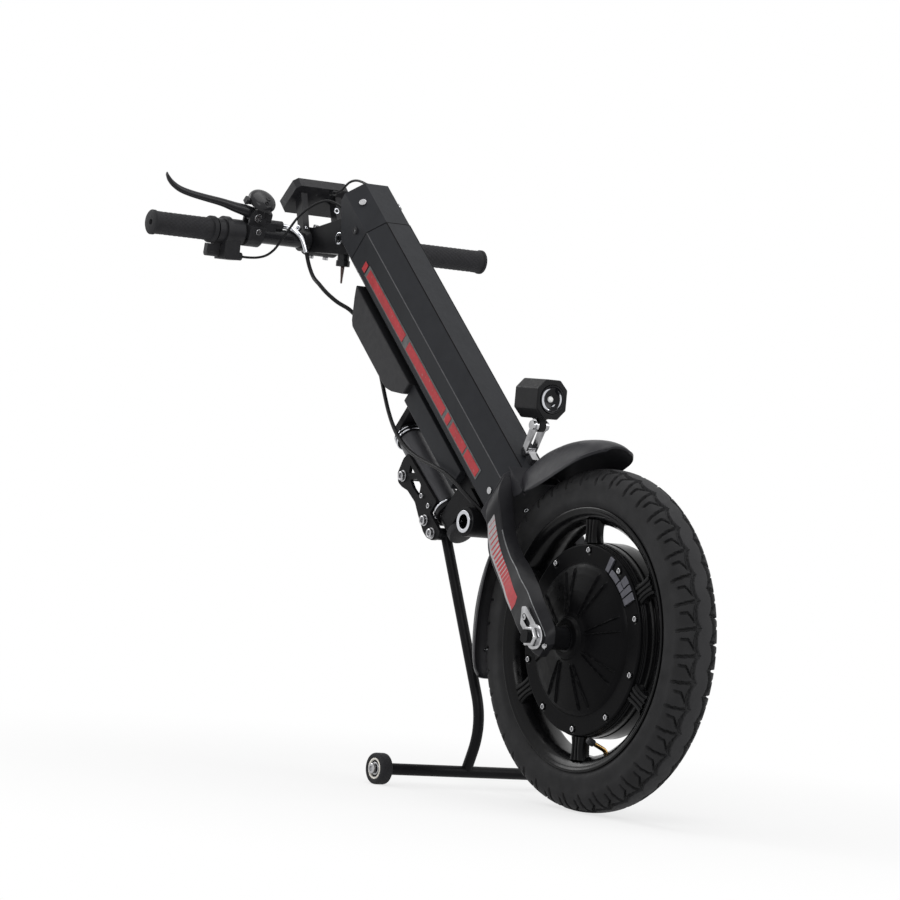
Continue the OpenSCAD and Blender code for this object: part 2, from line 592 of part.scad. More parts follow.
// dock plate outline behind the column axis and along it
plate_outline = [[116, 453], [128, 456], [150, 451], [157, 441], [155, 430], [149, 417], [147, 393], [153, 374],
    [159, 350], [158, 338], [152, 327], [142, 320], [132, 322], [132, 358], [112, 358]];
through_bolts = [[143, 438], [146, 358]];
module dock_plates() color("#36373b") in_col() for (s = [0, 1]) mirror([s, 0, 0]) difference() {
    translate([plate_x, 0, 0]) rotate([90, 0, 90]) linear_extrude(plate_t) polygon(plate_outline);
    for (p = through_bolts) translate([0, p[0], p[1]]) across(plate_x - 1, plate_out + 1, 4 + fit);
    translate([0, pivot_y, pivot_z]) across(plate_x - 1, plate_out + 1, pivot_bolt_r + fit);
    translate([plate_x - 1, 123, 424]) cube([plate_t + 2, 5, 9]);
    translate([plate_x - 1, 126, 388]) cube([plate_t + 2, 8, 18]);
    for (z = [388, 406]) translate([0, 130, z]) across(plate_x - 1, plate_out + 1, 4);
}
module dock_spacers() color("#36373b") in_col() for (p = through_bolts)
    translate([0, p[0], p[1]]) pipe(-plate_x + fit, plate_x - fit, 4 + fit, 5.5);
module dock_bolts() color("#c9cbce") in_col() {
    for (p = concat(through_bolts, [[pivot_y, pivot_z]])) translate([0, p[0], p[1]]) {
        across(-plate_out - 1, plate_out + 1, 4);
        for (s = [0, 1]) mirror([s, 0, 0]) translate([plate_out + fit, 0, 0]) rotate([0, 90, 0]) {
            cylinder(h = 1.5, r = 7.5);
            cylinder(h = 6, r = 6.5, $fn = 6);
        }
    }
}

// stand

module stand_frame() color("#26272a") {
    eye = col_pt(0, pivot_y, pivot_z);
    foot = [0, foot_y, roller_r];
    difference() {
        union() {
            rod(eye, knee, stand_r);
            translate(knee) sphere(r = stand_r + 0.6);
            rod(knee, foot, stand_r);
            translate([0, foot_y, roller_r]) across(-foot_half, foot_half, stand_r + 0.5);
            translate(eye) across(-eye_half, eye_half, stand_r + 1);
        }
        translate(eye) across(-eye_half - 1, eye_half + 1, pivot_bolt_r + run);
    }
    for (s = [0, 1]) mirror([s, 0, 0]) translate([0, foot_y, roller_r]) {
        across(foot_half - 2, foot_half + roller_w + 6, 4);
        across(foot_half + roller_w + 1.2, foot_half + roller_w + 5, 6.5);
    }
}
module roller() translate([foot_half + 0.6, foot_y, roller_r]) rotate([0, 90, 0]) difference() {
    rotate_extrude() polygon([[4 + run, 0], [roller_r - 2, 0], [roller_r, 2.5], [roller_r, roller_w - 2.5],
        [roller_r - 2, roller_w], [roller_r - 5, roller_w], [roller_r - 6, roller_w - 2], [9, roller_w - 2],
        [8, roller_w], [4 + run, roller_w]]);
}
module roller_right() color("#3a3b3e") mirror([1, 0, 0]) roller();
module roller_left() color("#3a3b3e") roller();

// handlebar and stem

module handlebar() color("#2a2b2e") on_bar() pipe(5 - bar_half, bar_half - 5, bar_r - bar_wall, bar_r);
module grip(len) difference() {
    union() {
        across(bar_half - len, bar_half - 5, grip_r);
        across(bar_half - 5, bar_half, grip_r + 1.2);
        across(bar_half - len, bar_half - len + 7, grip_r + 3);
    }
    across(bar_half - len - 1, bar_half - 5 + fit, bar_r + fit);
    for (k = [0:5]) translate([bar_half - len + 14 + k*(len - 26)/6, 0, 0]) pipe(0, 4, grip_r - 0.7, grip_r + 1);
}
module grips() color("#2d2e30") on_bar() {
    grip(grip_left_len);
    mirror([1, 0, 0]) grip(grip_right_len);
}
bar_in_col = [bar_y*cos(lean) - (bar_z - col_datum)*sin(lean), bar_y*sin(lean) + (bar_z - col_datum)*cos(lean)];
module stem() color("#2a2b2e") in_col() difference() {
    // block on the cap's slanted rear face, arm and clamp
    cut_a = [cap_cut_y, col_top + 1];
    cut_d = [rear_y + 0.5 - cap_cut_y, col_seam + 11 - col_top];
    n = unit([-cut_d[1], cut_d[0]]);
    a = cut_a + 0.22*cut_d + fit*n;
    b = cut_a + 0.80*cut_d + fit*n;
    dir = unit(bar_in_col - (a + b)/2);
    w = [-dir[1], dir[0]];
    union() {
        side_profile([a, b, b + 10*n, bar_in_col - 15*w, bar_in_col + 15*w, a + 10*n], stem_half_w);
        translate([0, bar_in_col[0], bar_in_col[1]]) across(-stem_half_w, stem_half_w, bar_r + 8);
    }
    translate([0, bar_in_col[0], bar_in_col[1]]) across(-stem_half_w - 1, stem_half_w + 1, bar_r + fit);
    rotate([lean, 0, 0]) translate([key_at.x, key_at.y, key_low - col_datum]) cylinder(h = key_top + fit - key_low, r = key_r + fit);
}
module bar_hardware() color("#c9cbce") {
    // clamp screws on the stem, screws of the perch
    on_bar() for (x = [-12, 12], a = [12, 186]) translate([x, 0, 0]) rotate([a, 0, 0])
        translate([0, 0, bar_r + 8 + fit]) cylinder(h = 4, r = 4, $fn = 32);
    on_perch() {
        translate([perch_x, -lever_t/2 - 4 - fit, lever_pivot_z]) rotate([90, 0, 0]) cylinder(h = 2.5, r = 5.5, $fn = 32);
        translate([perch_x, 12, lever_pivot_z]) rotate([90, 0, 0]) cylinder(h = 24, r = 3 - run, $fn = 32);
        translate([perch_x, -18 - fit, 8]) rotate([90, 0, 0]) cylinder(h = 3, r = 4, $fn = 32);
    }
}
bell_x = perch_x + 6;                     // middle of the bell's dome
bell_z = 45;
bell_turn = 30;
bell_r = 20;
bell_pin_x = 13;                         // pin beside the dome's middle
bell_pin_r = 3.5;

// right-hand controls

module throttle_housing() color("#2c2d2f") on_bar() difference() {
    union() {
        across(paddle_x + paddle_w/2 + 0.3, paddle_x + paddle_w/2 + 9, 20);
        across(paddle_x + paddle_w/2 + 8, paddle_x + paddle_w/2 + 29, 17.5);
        translate([paddle_x + paddle_w/2 + 0.3, -13, -38]) cube([24, 26, 34]);
        translate([paddle_x + paddle_w/2 + 22, 0, -32]) across(0, 12, 5.5);
    }
    across(paddle_x - 1, paddle_x + 60, bar_r + fit);
}
module throttle_paddle() color("#252628") on_bar() difference() {
    union() {
        across(paddle_x - paddle_w/2, paddle_x + paddle_w/2, 16.5);
        rotate([paddle_rest, 0, 0]) translate([paddle_x - 15, -4, -31]) cube([14 + paddle_w/2, 8, 22]);
        rotate([paddle_rest, 0, 0]) translate([0, 0, -31]) across(paddle_x - 14.5, paddle_x + paddle_w/2 - 0.5, 5);
    }
    across(paddle_x - 30, paddle_x + 30, bar_r + run);
    across(paddle_x - 30, paddle_x - paddle_w/2 - fit, grip_r + 4.2);
}
module brake_perch() color("#26272a") on_perch() difference() {
    union() {
        across(perch_x - 11, perch_x + 12, bar_r + 6);
        translate([perch_x - 12, -18, -4]) cube([24, 32, 18]);
        translate([perch_x, -lever_t/2 - 4, lever_pivot_z]) rotate([-90, 0, 0]) cylinder(h = 4 - 0.3, r = 11);
        translate([perch_x, lever_t/2 + 0.3, lever_pivot_z]) rotate([-90, 0, 0]) cylinder(h = 4 - 0.3, r = 11);
        for (s = [-1, 1]) translate([perch_x - 11, s > 0 ? lever_t/2 + 0.3 : -lever_t/2 - 4, 10])
            cube([26, 3.7, lever_pivot_z - 10]);
        // barrel that leads the cable towards the middle
        translate([0, 0, 16]) across(perch_x + 14, perch_x + 46, 6.5);
        translate([perch_x + 8, -8, 6]) cube([26, 16, 14]);
        translate([bell_x + bell_pin_x - 6, -6, 12]) cube([12, 12, bell_z - 12]);
    }
    across(perch_x - 20, perch_x + 60, bar_r + fit);
    translate([perch_x - 30, -lever_t/2 - 0.3, 13.6]) cube([42, lever_t + 0.6, 40]);
    translate([bell_x, 0, bell_z]) rotate([bell_turn, 0, 0]) translate([bell_pin_x - 6.5, -20, -9 - fit]) cube([13, 40, 30]);
    translate([perch_x, 20, lever_pivot_z]) rotate([90, 0, 0]) cylinder(h = 40, r = 3, $fn = 32);
}
// lever blade: along the bar from the pivot, height above the bar, half depth
function lever_stations() = [[2, 27, 9.4], [-14, 31, 8.6], [-34, 34.4, 7.2], [-56, 38.6, 5.8], [-82, 41.8, 5.2],
    [-106, 45.2, 4.9], [-124, 49.4, 4.7], [-137, 55.6, 4.6], [-145, 62, 4.4], [-149, 67, 3.4]];
module brake_lever() color("#2a2b2d") on_perch() difference() {
    union() {
        translate([perch_x, lever_t/2, lever_pivot_z]) rotate([90, 0, 0]) cylinder(h = lever_t, r = 10.5);
        loft([for (s = lever_stations()) [for (k = [0:9])
            [perch_x + s[0], 0.8*s[2]*cos(36*k), s[1] - 0.95*s[2]*sin(36*k)]]]);
    }
    translate([perch_x, 20, lever_pivot_z]) rotate([90, 0, 0]) cylinder(h = 40, r = 3, $fn = 32);
    for (s = [-1, 1]) translate([perch_x - 11.5, s > 0 ? lever_t/2 : -lever_t/2 - 20, 0]) cube([40, 20, 40]);
}
module on_bell() on_perch() translate([bell_x, 0, bell_z]) rotate([bell_turn, 0, 0]) children();
module bell_dome() color("#2b2c2f") on_bell() {
    rotate_extrude() polygon([[0, 0], [bell_r, 0], [bell_r, 2], [bell_r - 2.5, 7], [bell_r - 8, 10], [0, 11.5]]);
    translate([4, -4, 9]) cylinder(h = 3.6, r = 3.6, $fn = 32);
    translate([bell_pin_x, 0, -9]) cylinder(h = 10, r = bell_pin_r);
    translate([bell_pin_x, 0, -9]) cylinder(h = 4.6, r = 5.5);
}
module bell_striker() color("#232427") on_bell() {
    // ring on the bell's pin, arm under the dome and thumb hook beside it
    difference() {
        union() {
            translate([bell_pin_x, 0, -3.7]) cylinder(h = 3.2, r = 6);
            translate([-bell_r - 3, -3, -3.7]) cube([bell_r + 3 + bell_pin_x, 6, 3.2]);
            translate([-bell_r - 6, -4, -3.7]) cube([4.5, 8, 9]);
        }
        translate([bell_pin_x, 0, -10]) cylinder(h = 20, r = bell_pin_r + run);
    }
}
module on_display() translate(display_mid) rotate([-display_lean, 0, 0]) children();
module display_case() color("#26272a") {
    on_display() difference() {
        translate([0, 0, -display_t/2]) linear_extrude(display_t) polygon(octagon(display_w, display_h, 6));
        translate([-display_w/2 + 7, -display_h/2 + 14, display_t/2 - 1.5]) cube([display_w - 14, display_h - 20, 3]);
        for (x = [-18, 18]) translate([x, -display_h/2 + 7, -display_t/2 + 4]) cylinder(h = display_t, r = 5 + 0.3, $fn = 32);
    }
    // boot of the wire, and two arms from the handlebar
    translate(display_mid + display_exit) rotate([-90, 0, 0]) cylinder(h = boot_len, r = 3.6, $fn = 32);
    for (s = [-1, 1]) difference() {
        union() {
            on_bar() across(s > 0 ? stem_half_w + 1 : -stem_half_w - 11, s > 0 ? stem_half_w + 11 : -stem_half_w - 1, bar_r + 4);
            hull() {
                on_bar() translate([s > 0 ? stem_half_w + 1 : -stem_half_w - 11, -6, 8]) cube([10, 12, 6]);
                on_display() translate([s > 0 ? stem_half_w + 1 : -stem_half_w - 11, -14, -display_t/2 - 1]) cube([10, 16, 2]);
            }
        }
        on_bar() across(-60, 60, bar_r + fit);
    }
}
module display_glass() color("#11161c") on_display() translate([-display_w/2 + 7 + fit, -display_h/2 + 14 + fit, display_t/2 - 1.5 + fit])
    cube([display_w - 14 - 2*fit, display_h - 20 - 2*fit, 1.5]);
module display_button(x) on_display() translate([x, -display_h/2 + 7, display_t/2 - 7]) cylinder(h = 8.5, r = 5, $fn = 48);
module button_left() color("#55585d") display_button(18);
module button_right() color("#55585d") display_button(-18);
module key_switch() color("#1f2022") translate(key_at + lift) difference() {
    union() {
        translate([0, 0, key_low]) cylinder(h = key_top - key_low, r = key_r);
        translate([0, 0, key_low - 2]) cylinder(h = 8, r = key_r + 1.5);
    }
    translate([0, 0, key_low - 3]) cylinder(h = 14, r = key_plug_r + run);
}
module ignition_key() color("#b4b6b9") translate(key_at + lift) {
    // plug, blade and a narrow bow
    translate([0, 0, key_low - 1]) cylinder(h = 11, r = key_plug_r);
    rotate(-35) translate([-1, -4, key_low - 25]) cube([2, 8, 26]);
    rotate(-35) translate([-1.5, 0, key_low - 22]) rotate([0, 90, 0]) cylinder(h = 3, r = 6);
}

// headlamp

module lamp_housing() color("#26272a") difference() {
    union() {
        translate([0, lamp_front_y + lamp_len, lamp_mid_z]) rotate([90, 0, 0]) linear_extrude(lamp_len)
            polygon(octagon(lamp_w, lamp_h, 12));
        translate([-5, lamp_pivot.y - 8, lamp_pivot.z]) cube([10, 16, 12]);
        translate(lamp_pivot) across(-5, 5, 8);
    }
    translate(lamp_pivot) across(-8, 8, 3);
    translate([0, lamp_front_y + 9, lamp_mid_z]) rotate([90, 0, 0]) cylinder(h = 12, r = lens_r + 1.5);
}
module lamp_lens() color("#dfe6ee") translate([0, lamp_front_y + 9 - fit, lamp_mid_z]) rotate([90, 0, 0])
    rotate_extrude() polygon([[0, 0], [lens_r + 1.5 - fit, 0], [lens_r + 1.5 - fit, 9.5], [lens_r - 1, 9.5], [lens_r - 2, 7],
        [8, 5], [5, 8], [0, 9]]);
module lamp_bracket() color("#d3d5d8") {
    // cheeks on both sides of the lamp's lug, pivot bolt, strip and foot on the column's front face
    low = [lamp_pivot.y + 17, lamp_pivot.z - 34];
    top = [lamp_pivot.y, lamp_pivot.z];
    out = unit([low[1] - top[1], top[0] - low[0]]);
    for (s = [0, 1]) mirror([s, 0, 0]) translate([5.4, 0, 0]) rotate([90, 0, 90]) linear_extrude(3) {
        translate(top) circle(r = 8);
        translate(low) circle(r = 5.5);
        polygon([top + 6*out, low + 4.5*out, low - 4.5*out, top - 6*out]);
    }
    translate([0, low[0], low[1]]) across(-6, 6, 4.5);
    in_col() translate([-5, -rear_y - fit - 10, col_low + 6]) cube([10, 10, 22]);
    translate(lamp_pivot) across(-12, 12, 3 - run);
    for (s = [0, 1]) mirror([s, 0, 0]) translate(lamp_pivot) across(8, 12, 6);
}

// brake on the left side

module brake_calliper() color("#3b3c40") in_fork() difference() {
    translate([0, 26, 0]) rotate([90, 0, 0]) linear_extrude(34)
        polygon([[disc_x - 5, 60], [60, 60], [60, 74], [68, 74], [63.4, 92], [60, 98], [disc_x - 5, 98]]);
    across(disc_x - 0.8, disc_x + disc_t + 0.8, disc_d/2 + 3);
}
// points from the perch's middle
noodle_route = [for (q = [
    [46.3, 0, 16], [53.1, -0.9, 15.8], [59.3, -3.5, 14.9], [64.5, -7.6, 13], [68.5, -12.4, 10],
    [71.5, -17.1, 6.1], [73.8, -21.5, 1.4], [75.6, -25.3, -4.1], [77, -28.5, -10]]) q + [perch_x, 0, 0]];
module brake_noodle() color("#d3d5d8") on_perch() cable(noodle_route, 3.4, 12, 4);

// cable routes, chosen point by point

function in_perch(v) = [v.x, bar_y + v.y*cos(perch_turn) - v.z*sin(perch_turn),
    bar_z + v.y*sin(perch_turn) + v.z*cos(perch_turn)] + lift;
noodle_end = noodle_route[len(noodle_route) - 1];
noodle_dir = unit(noodle_end - noodle_route[len(noodle_route) - 2]);
brake_route = concat([in_perch(noodle_end + 0.2*noodle_dir)], [for (q = [
    [-33.3, 682.1, 660.6], [-33.1, 669.1, 645.2], [-35.1, 650.5, 635.9], [-32.6, 633.5, 624.6],
    [-23.7, 618.5, 613.2], [-13.4, 602.8, 604.3], [-7.6, 587.3, 591.8], [-6, 572.2, 577.5], [-6.3, 556.4, 563.9],
    [-8.2, 540.7, 550.4], [-11.2, 525.9, 536], [-14.7, 512.1, 520.9], [-18.2, 498.7, 505.3],
    [-21.4, 485.5, 489.5], [-24.2, 472.1, 473.8], [-26.4, 457.9, 458.7], [-28.2, 442.4, 444.9],
    [-29.7, 425.2, 433.2], [-31.1, 406.7, 423.9], [-32.7, 387, 417.3], [-34.1, 366.8, 412.3],
    [-34.8, 346.4, 407.9], [-35, 326.2, 403], [-34.7, 306.4, 396.4], [-34.5, 287.5, 387.8],
    [-33.9, 269.5, 377.3], [-30.9, 252, 366.4], [-22.9, 237.3, 354.2], [-9.3, 228.6, 341.3], [8.5, 224.4, 331.4],
    [27.1, 219.2, 323.6], [41.8, 208.1, 314.4], [48.6, 191.6, 303.9], [48.1, 173, 294.7], [45.6, 154, 286.5],
    [44.5, 133.7, 282.4], [46.9, 113.1, 281.4]]) q + lift],
    [fork_pt(50, 14, 112), fork_pt(50, 14, 98 + fit)]);
// where the wires enter the cap: on its slanted rear face and on its top
slant = [col_seam + 11 - col_top, -rear_y - 0.5 + cap_cut_y];
wire_in = [cap_cut_y + 7, col_top + 1 + 7*slant[0]/-slant[1]];
function slant_pt(x, d) = col_pt(x, wire_in[0] - d*unit(slant)[0], wire_in[1] - d*unit(slant)[1]);
bar_mid = [0, bar_y, bar_z] + lift;
throttle_route = concat([bar_mid + [paddle_x + paddle_w/2 + 34 + fit, 0, -32], bar_mid + [paddle_x + 51.5, 0, -32]],
    [for (q = [
    [-102.4, 704.9, 664.2], [-95.7, 694.4, 667.9], [-90.7, 685, 675.4], [-86.8, 677.9, 685.7],
    [-82.9, 672.1, 696.7], [-78.2, 667.6, 708.1], [-72.2, 664.5, 719.2], [-64.4, 661.9, 729.4],
    [-54.9, 659.2, 738], [-44.7, 655.5, 745.2], [-33.9, 649.6, 749.2], [-24.7, 641.1, 745.8],
    [-18.6, 631.2, 740]]) q + lift],
    [slant_pt(-16, 13), slant_pt(-16, fit)]);
display_route = concat([display_mid + display_exit - [0, fit, 0]], [for (q = [
    [14, 699, 765.6], [13.2, 688.2, 769], [11.7, 678.3, 774.3], [10.3, 667.9, 778.7], [9.5, 656.8, 781],
    [8.8, 645.5, 781.1], [8, 634.3, 779.4], [6.8, 623.2, 776.9], [5.1, 612.3, 774.5]]) q + lift],
    [col_pt(4, -30, col_top + 9), col_pt(4, -30, col_top + 2*fit)]);
module brake_cable() color("#1b1c1e") cable(brake_route, brake_cable_r, 8, 3);
module control_wires() color("#1b1c1e") {
    cable(throttle_route, wire_r, 8, 2);
    cable(display_route, wire_r, 8, 2);
}

tyre();
wheel_casting();
valve();
motor_cover();
wheel_screws();
magnet_ring();
hub_bearings();
brake_disc();
axle();
axle_hardware();
stator();
fork_crown();
fork_right();
fork_left();
mudguard_front();
mudguard_rear();
column_tube();
column_cap();
column_screws();
battery_pack();
strip_bases();
strip_reds();
rear_spine();
controller_box();
upper_lug();
lower_lug();
cross_bushes();
steer_spindle();
head_tube();
headset_cups();
headset_bearings();
dock_plates();
dock_spacers();
dock_bolts();
stand_frame();
roller_right();
roller_left();
handlebar();
grips();
stem();
bar_hardware();
throttle_housing();
throttle_paddle();
brake_perch();
brake_lever();
bell_dome();
bell_striker();
display_case();
display_glass();
button_left();
button_right();
key_switch();
ignition_key();
lamp_housing();
lamp_lens();
lamp_bracket();
brake_calliper();
brake_noodle();
brake_cable();
control_wires();
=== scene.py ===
"""Clip-on front drive for a wheelchair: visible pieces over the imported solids, studio and camera."""
import json
import math

import bmesh
import bpy
import numpy as np
from bpy.props import FloatProperty, FloatVectorProperty, IntProperty, PointerProperty
from mathutils import Matrix, Vector
from mathutils.geometry import tessellate_polygon


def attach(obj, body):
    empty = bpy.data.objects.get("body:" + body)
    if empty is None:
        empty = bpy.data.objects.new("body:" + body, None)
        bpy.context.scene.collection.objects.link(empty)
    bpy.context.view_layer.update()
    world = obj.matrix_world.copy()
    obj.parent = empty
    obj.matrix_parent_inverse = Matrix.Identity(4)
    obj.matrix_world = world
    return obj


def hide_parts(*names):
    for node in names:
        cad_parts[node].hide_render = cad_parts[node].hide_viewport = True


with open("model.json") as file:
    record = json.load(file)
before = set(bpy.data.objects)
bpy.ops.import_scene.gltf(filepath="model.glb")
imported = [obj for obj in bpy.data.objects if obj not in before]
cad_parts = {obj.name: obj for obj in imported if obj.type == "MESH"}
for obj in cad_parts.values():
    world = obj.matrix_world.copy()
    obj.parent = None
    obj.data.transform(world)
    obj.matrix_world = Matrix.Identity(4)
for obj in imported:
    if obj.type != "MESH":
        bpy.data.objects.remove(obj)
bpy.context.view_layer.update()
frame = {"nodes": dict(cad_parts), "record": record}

bl_info = {
    "name": "Wheelchair front drive",
    "version": (1, 0, 0),
    "blender": (4, 2, 0),
    "location": "View3D > Sidebar > Front drive",
    "description": "Builds the visible pieces of a clip-on electric front drive over its solids",
    "category": "Object",
}

node_body = {n: b for b, names in frame["record"]["behaviour"]["bodies"].items() for n in names}

# lengths are millimetres; MM carries them to metres
MM = 0.001
TURN = 2 * math.pi
ACROSS, UP = (1, 0, 0), (0, 0, 1)
LEAN_DEGREES = 49.3
LEAN = math.radians(LEAN_DEGREES)
AXLE_Z = 212.0
AXLE = (0, 0, AXLE_Z)
BAR_Y, BAR_Z, BAR_HALF = 711.0, 695.0, 271.0
PERCH_X, PERCH_TURN = -114.0, math.radians(15)
COVER_SCREWS, COVER_SCREW_R = 10, 110.5
# places behind and along the column: the steering axis, and the pivot of the stand
HEAD_Y = 120
PIVOT = (146, 334)
# inner and outer face of the dock plates, from the middle
PLATE_IN, PLATE_OUT = 17.05, 22.05


# points and curves


def grid(x, y, z):
    """Points from three arrays that are broadcast against each other."""
    return np.stack(np.broadcast_arrays(x, y, z), -1)


def from_column(p):
    """Points given across, behind and along the column, in the row frame.

    The lean turns the last two about X, then the axle's height is added.
    """
    p = np.asarray(p, float)
    s, c = math.sin(LEAN), math.cos(LEAN)
    return grid(p[..., 0], p[..., 2] * s + p[..., 1] * c, AXLE_Z + p[..., 2] * c - p[..., 1] * s)


def from_wheel(r, a, x):
    """Points (x, r sin a, r cos a) from radius, angle from straight up to the rear and distance across."""
    return grid(x, r * np.sin(a), AXLE_Z + r * np.cos(a))


def round_axle(profile, angles):
    """Profile of radius and distance across, carried round the axle through the angles."""
    p = np.asarray(profile, float)
    return from_wheel(p[:, 0], angles, p[:, 1])


def from_perch(p):
    """Points of the brake perch in the row frame: turned about the bar by its lean, then moved to it."""
    p = np.asarray(p, float)
    s, c = math.sin(PERCH_TURN), math.cos(PERCH_TURN)
    return grid(p[..., 0], BAR_Y + p[..., 1] * c - p[..., 2] * s, BAR_Z + p[..., 1] * s + p[..., 2] * c)


def unit(v):
    """A direction with length 1."""
    v = np.asarray(v, float)
    return v / np.linalg.norm(v)


def placed(p, origin, along, side):
    """Local points with z along one direction and x near another.

    The result is origin + x side + y (along cross side) + z along.
    """
    w = unit(along)
    u = unit(np.asarray(side, float) - w * np.dot(side, w))
    return np.asarray(origin, float) + p @ np.stack([u, np.cross(w, u), w])


def smooth_line(points, steps):
    """Cubic through all points, sampled at equal steps.

    Each stretch is worked out from the two points before and the two after, with the ends repeated.
    """
    p = np.asarray(points, float)
    q = np.concatenate([p[:1], p, p[-1:]])
    t = (np.arange(steps) / steps).reshape((1, steps) + (1,) * (p.ndim - 1))
    a, b, c, d = q[:-3, None], q[1:-2, None], q[2:-1, None], q[3:, None]
    s = 0.5 * (2 * b + (c - a) * t + (2 * a - 5 * b + 4 * c - d) * t**2 + (3 * b - a - 3 * c + d) * t**3)
    return np.concatenate([s.reshape((-1,) + p.shape[1:]), p[-1:]])


def step_up(v, low, high):
    """0 below low, 1 above high, and a smooth cubic between."""
    t = np.clip((v - low) / (high - low), 0, 1)
    return t * t * (3 - 2 * t)


def between(v, low, full, less, high):
    """0 outside low to high, 1 from full to less, and smooth cubics between."""
    return step_up(v, low, full) * (1 - step_up(v, less, high))


def groove(distance, half, wall):
    """1 within half of a line and 0 beyond half + wall, with a smooth wall between."""
    return 1 - step_up(np.abs(distance), half, half + wall)


def nearest(v):
    """Signed distance to the nearest whole number."""
    return (v + 0.5) % 1 - 0.5


def signed_power(v, exponent):
    """A power that keeps the sign, which squares off a circle's sine and cosine."""
    return np.sign(v) * np.abs(v) ** exponent


def around(count):
    """Equal angles round one turn, as a column."""
    return np.linspace(0, TURN, count, endpoint=False)[:, None]


def circle(r, count):
    """Points on a circle: (r cos, r sin)."""
    a = around(count)
    return np.hstack([r * np.cos(a), r * np.sin(a)])


def fillet(corners, cut, steps=5):
    """Closed outline whose corners become quadratic curves.

    A curve starts and ends `cut` away from its corner along both edges, or 0.45 of a shorter edge.
    """
    c = np.asarray(corners, float)
    ends = []
    for other in (np.roll(c, 1, -2), np.roll(c, -1, -2)):
        d = other - c
        n = np.linalg.norm(d, axis=-1, keepdims=True)
        ends.append(c + d / n * np.minimum(cut, 0.45 * n))
    t = np.linspace(0, 1, steps)[:, None]
    a, b, m = ends[0][..., None, :], ends[1][..., None, :], c[..., None, :]
    q = (1 - t) ** 2 * a + 2 * t * (1 - t) * m + t**2 * b
    return q.reshape(c.shape[:-2] + (-1, c.shape[-1]))


def collar(inner, outer, low, high, cut, steps=4):
    """Closed profile of a ring with rounded edges, from two radii and two heights."""
    return fillet([[inner, low], [outer, low], [outer, high], [inner, high]], cut, steps)


def mirrored(rows):
    """Rows of radius and distance across, in reverse order on the other side."""
    return [[r, -x] for r, x in rows[::-1]]


def sheet_at(x, outline):
    """Flat outline of places behind and along, moved to a distance across."""
    return np.column_stack([np.full(len(outline), x), outline])


def slice_at(z, outline):
    """Flat outline of places across and behind, moved to a height along the column."""
    return np.column_stack([outline, np.full(len(outline), z)])


def turned(profile, count):
    """Profile of radius and height carried round the local z axis: (r cos, r sin, h) for each angle."""
    p = np.asarray(profile, float)
    a = around(count)
    return grid(p[:, 0] * np.cos(a), p[:, 0] * np.sin(a), p[:, 1])


def along_path(path, outline):
    """Outline in its own plane carried along a path.

    At each point the plane stands square to the path, turned as little as possible from a fixed side.
    """
    path = np.asarray(path, float)
    t = np.gradient(path, axis=0)
    t /= np.linalg.norm(t, axis=1, keepdims=True)
    u = np.cross([0.9, 0.1, 0.42], t)
    u /= np.linalg.norm(u, axis=1, keepdims=True)
    v = np.cross(t, u)
    return path[:, None] + outline[..., :1] * u[:, None] + outline[..., 1:] * v[:, None]


# skins: points and the faces between them


def skin(points, close_u=False, close_v=False, caps=False):
    """Quads between neighbours of a grid, joined round where closed, with flat ends if caps."""
    nu, nv = points.shape[:2]
    i = np.arange(nu if close_u else nu - 1)[:, None]
    j = np.arange(nv if close_v else nv - 1)[None, :]
    i1, j1 = (i + 1) % nu, (j + 1) % nv
    quads = np.stack(np.broadcast_arrays(i * nv + j, i1 * nv + j, i1 * nv + j1, i * nv + j1), -1)
    faces = quads.reshape(-1, 4).tolist()
    if caps:
        faces += [list(range(nv))[::-1], list(range((nu - 1) * nv, nu * nv))]
    return points.reshape(-1, 3), faces


def loft(outlines):
    """Closed outlines in a row, with flat ends."""
    return skin(outlines, close_v=True, caps=True)


def tube(path, r, count):
    """Round tube along a path, with flat ends."""
    return loft(along_path(path, circle(r, count)))


def lathe(profile, count, at, along, ring=False):
    """Profile of radius and height turned about a line from a point; a ring's profile is closed."""
    side = UP if abs(along[2]) < 0.9 else ACROSS
    return skin(placed(turned(profile, count), at, along, side), True, ring)


def screw(at, along, r, h):
    """Round head with a socket: one profile scaled to radius and height, standing on a point."""
    head = np.array([
        [0, 0.25], [0.5, 0.25], [0.55, 0.8], [0.72, 1], [0.92, 0.85], [1, 0.5], [1, 0], [0, 0]
    ])
    return lathe(head * [r, h], 24, at, along)


def washer(at, along, r, inner, h):
    """Flat ring with rounded edges, standing on a point."""
    return lathe(collar(inner, r, 0, h, 0.3 * h, 3), 32, at, along, ring=True)


def joined(*skins):
    """Several skins as one list of points and faces, each with its own numbers moved up."""
    points, faces, start = [], [], 0
    for p, f in skins:
        points.append(p)
        faces += [[k + start for k in face] for face in f]
        start += len(p)
    return np.concatenate(points), faces


# objects


def cleaned(mesh, near, flat=0.0):
    """Merges points nearer than a distance and faces flatter than an angle, and turns all faces outward."""
    bm = bmesh.new()
    bm.from_mesh(mesh)
    bmesh.ops.remove_doubles(bm, verts=bm.verts, dist=near)
    if flat:
        bmesh.ops.dissolve_limit(bm, angle_limit=flat, verts=bm.verts, edges=bm.edges)
    bmesh.ops.recalc_face_normals(bm, faces=bm.faces)
    bm.to_mesh(mesh)
    bm.free()


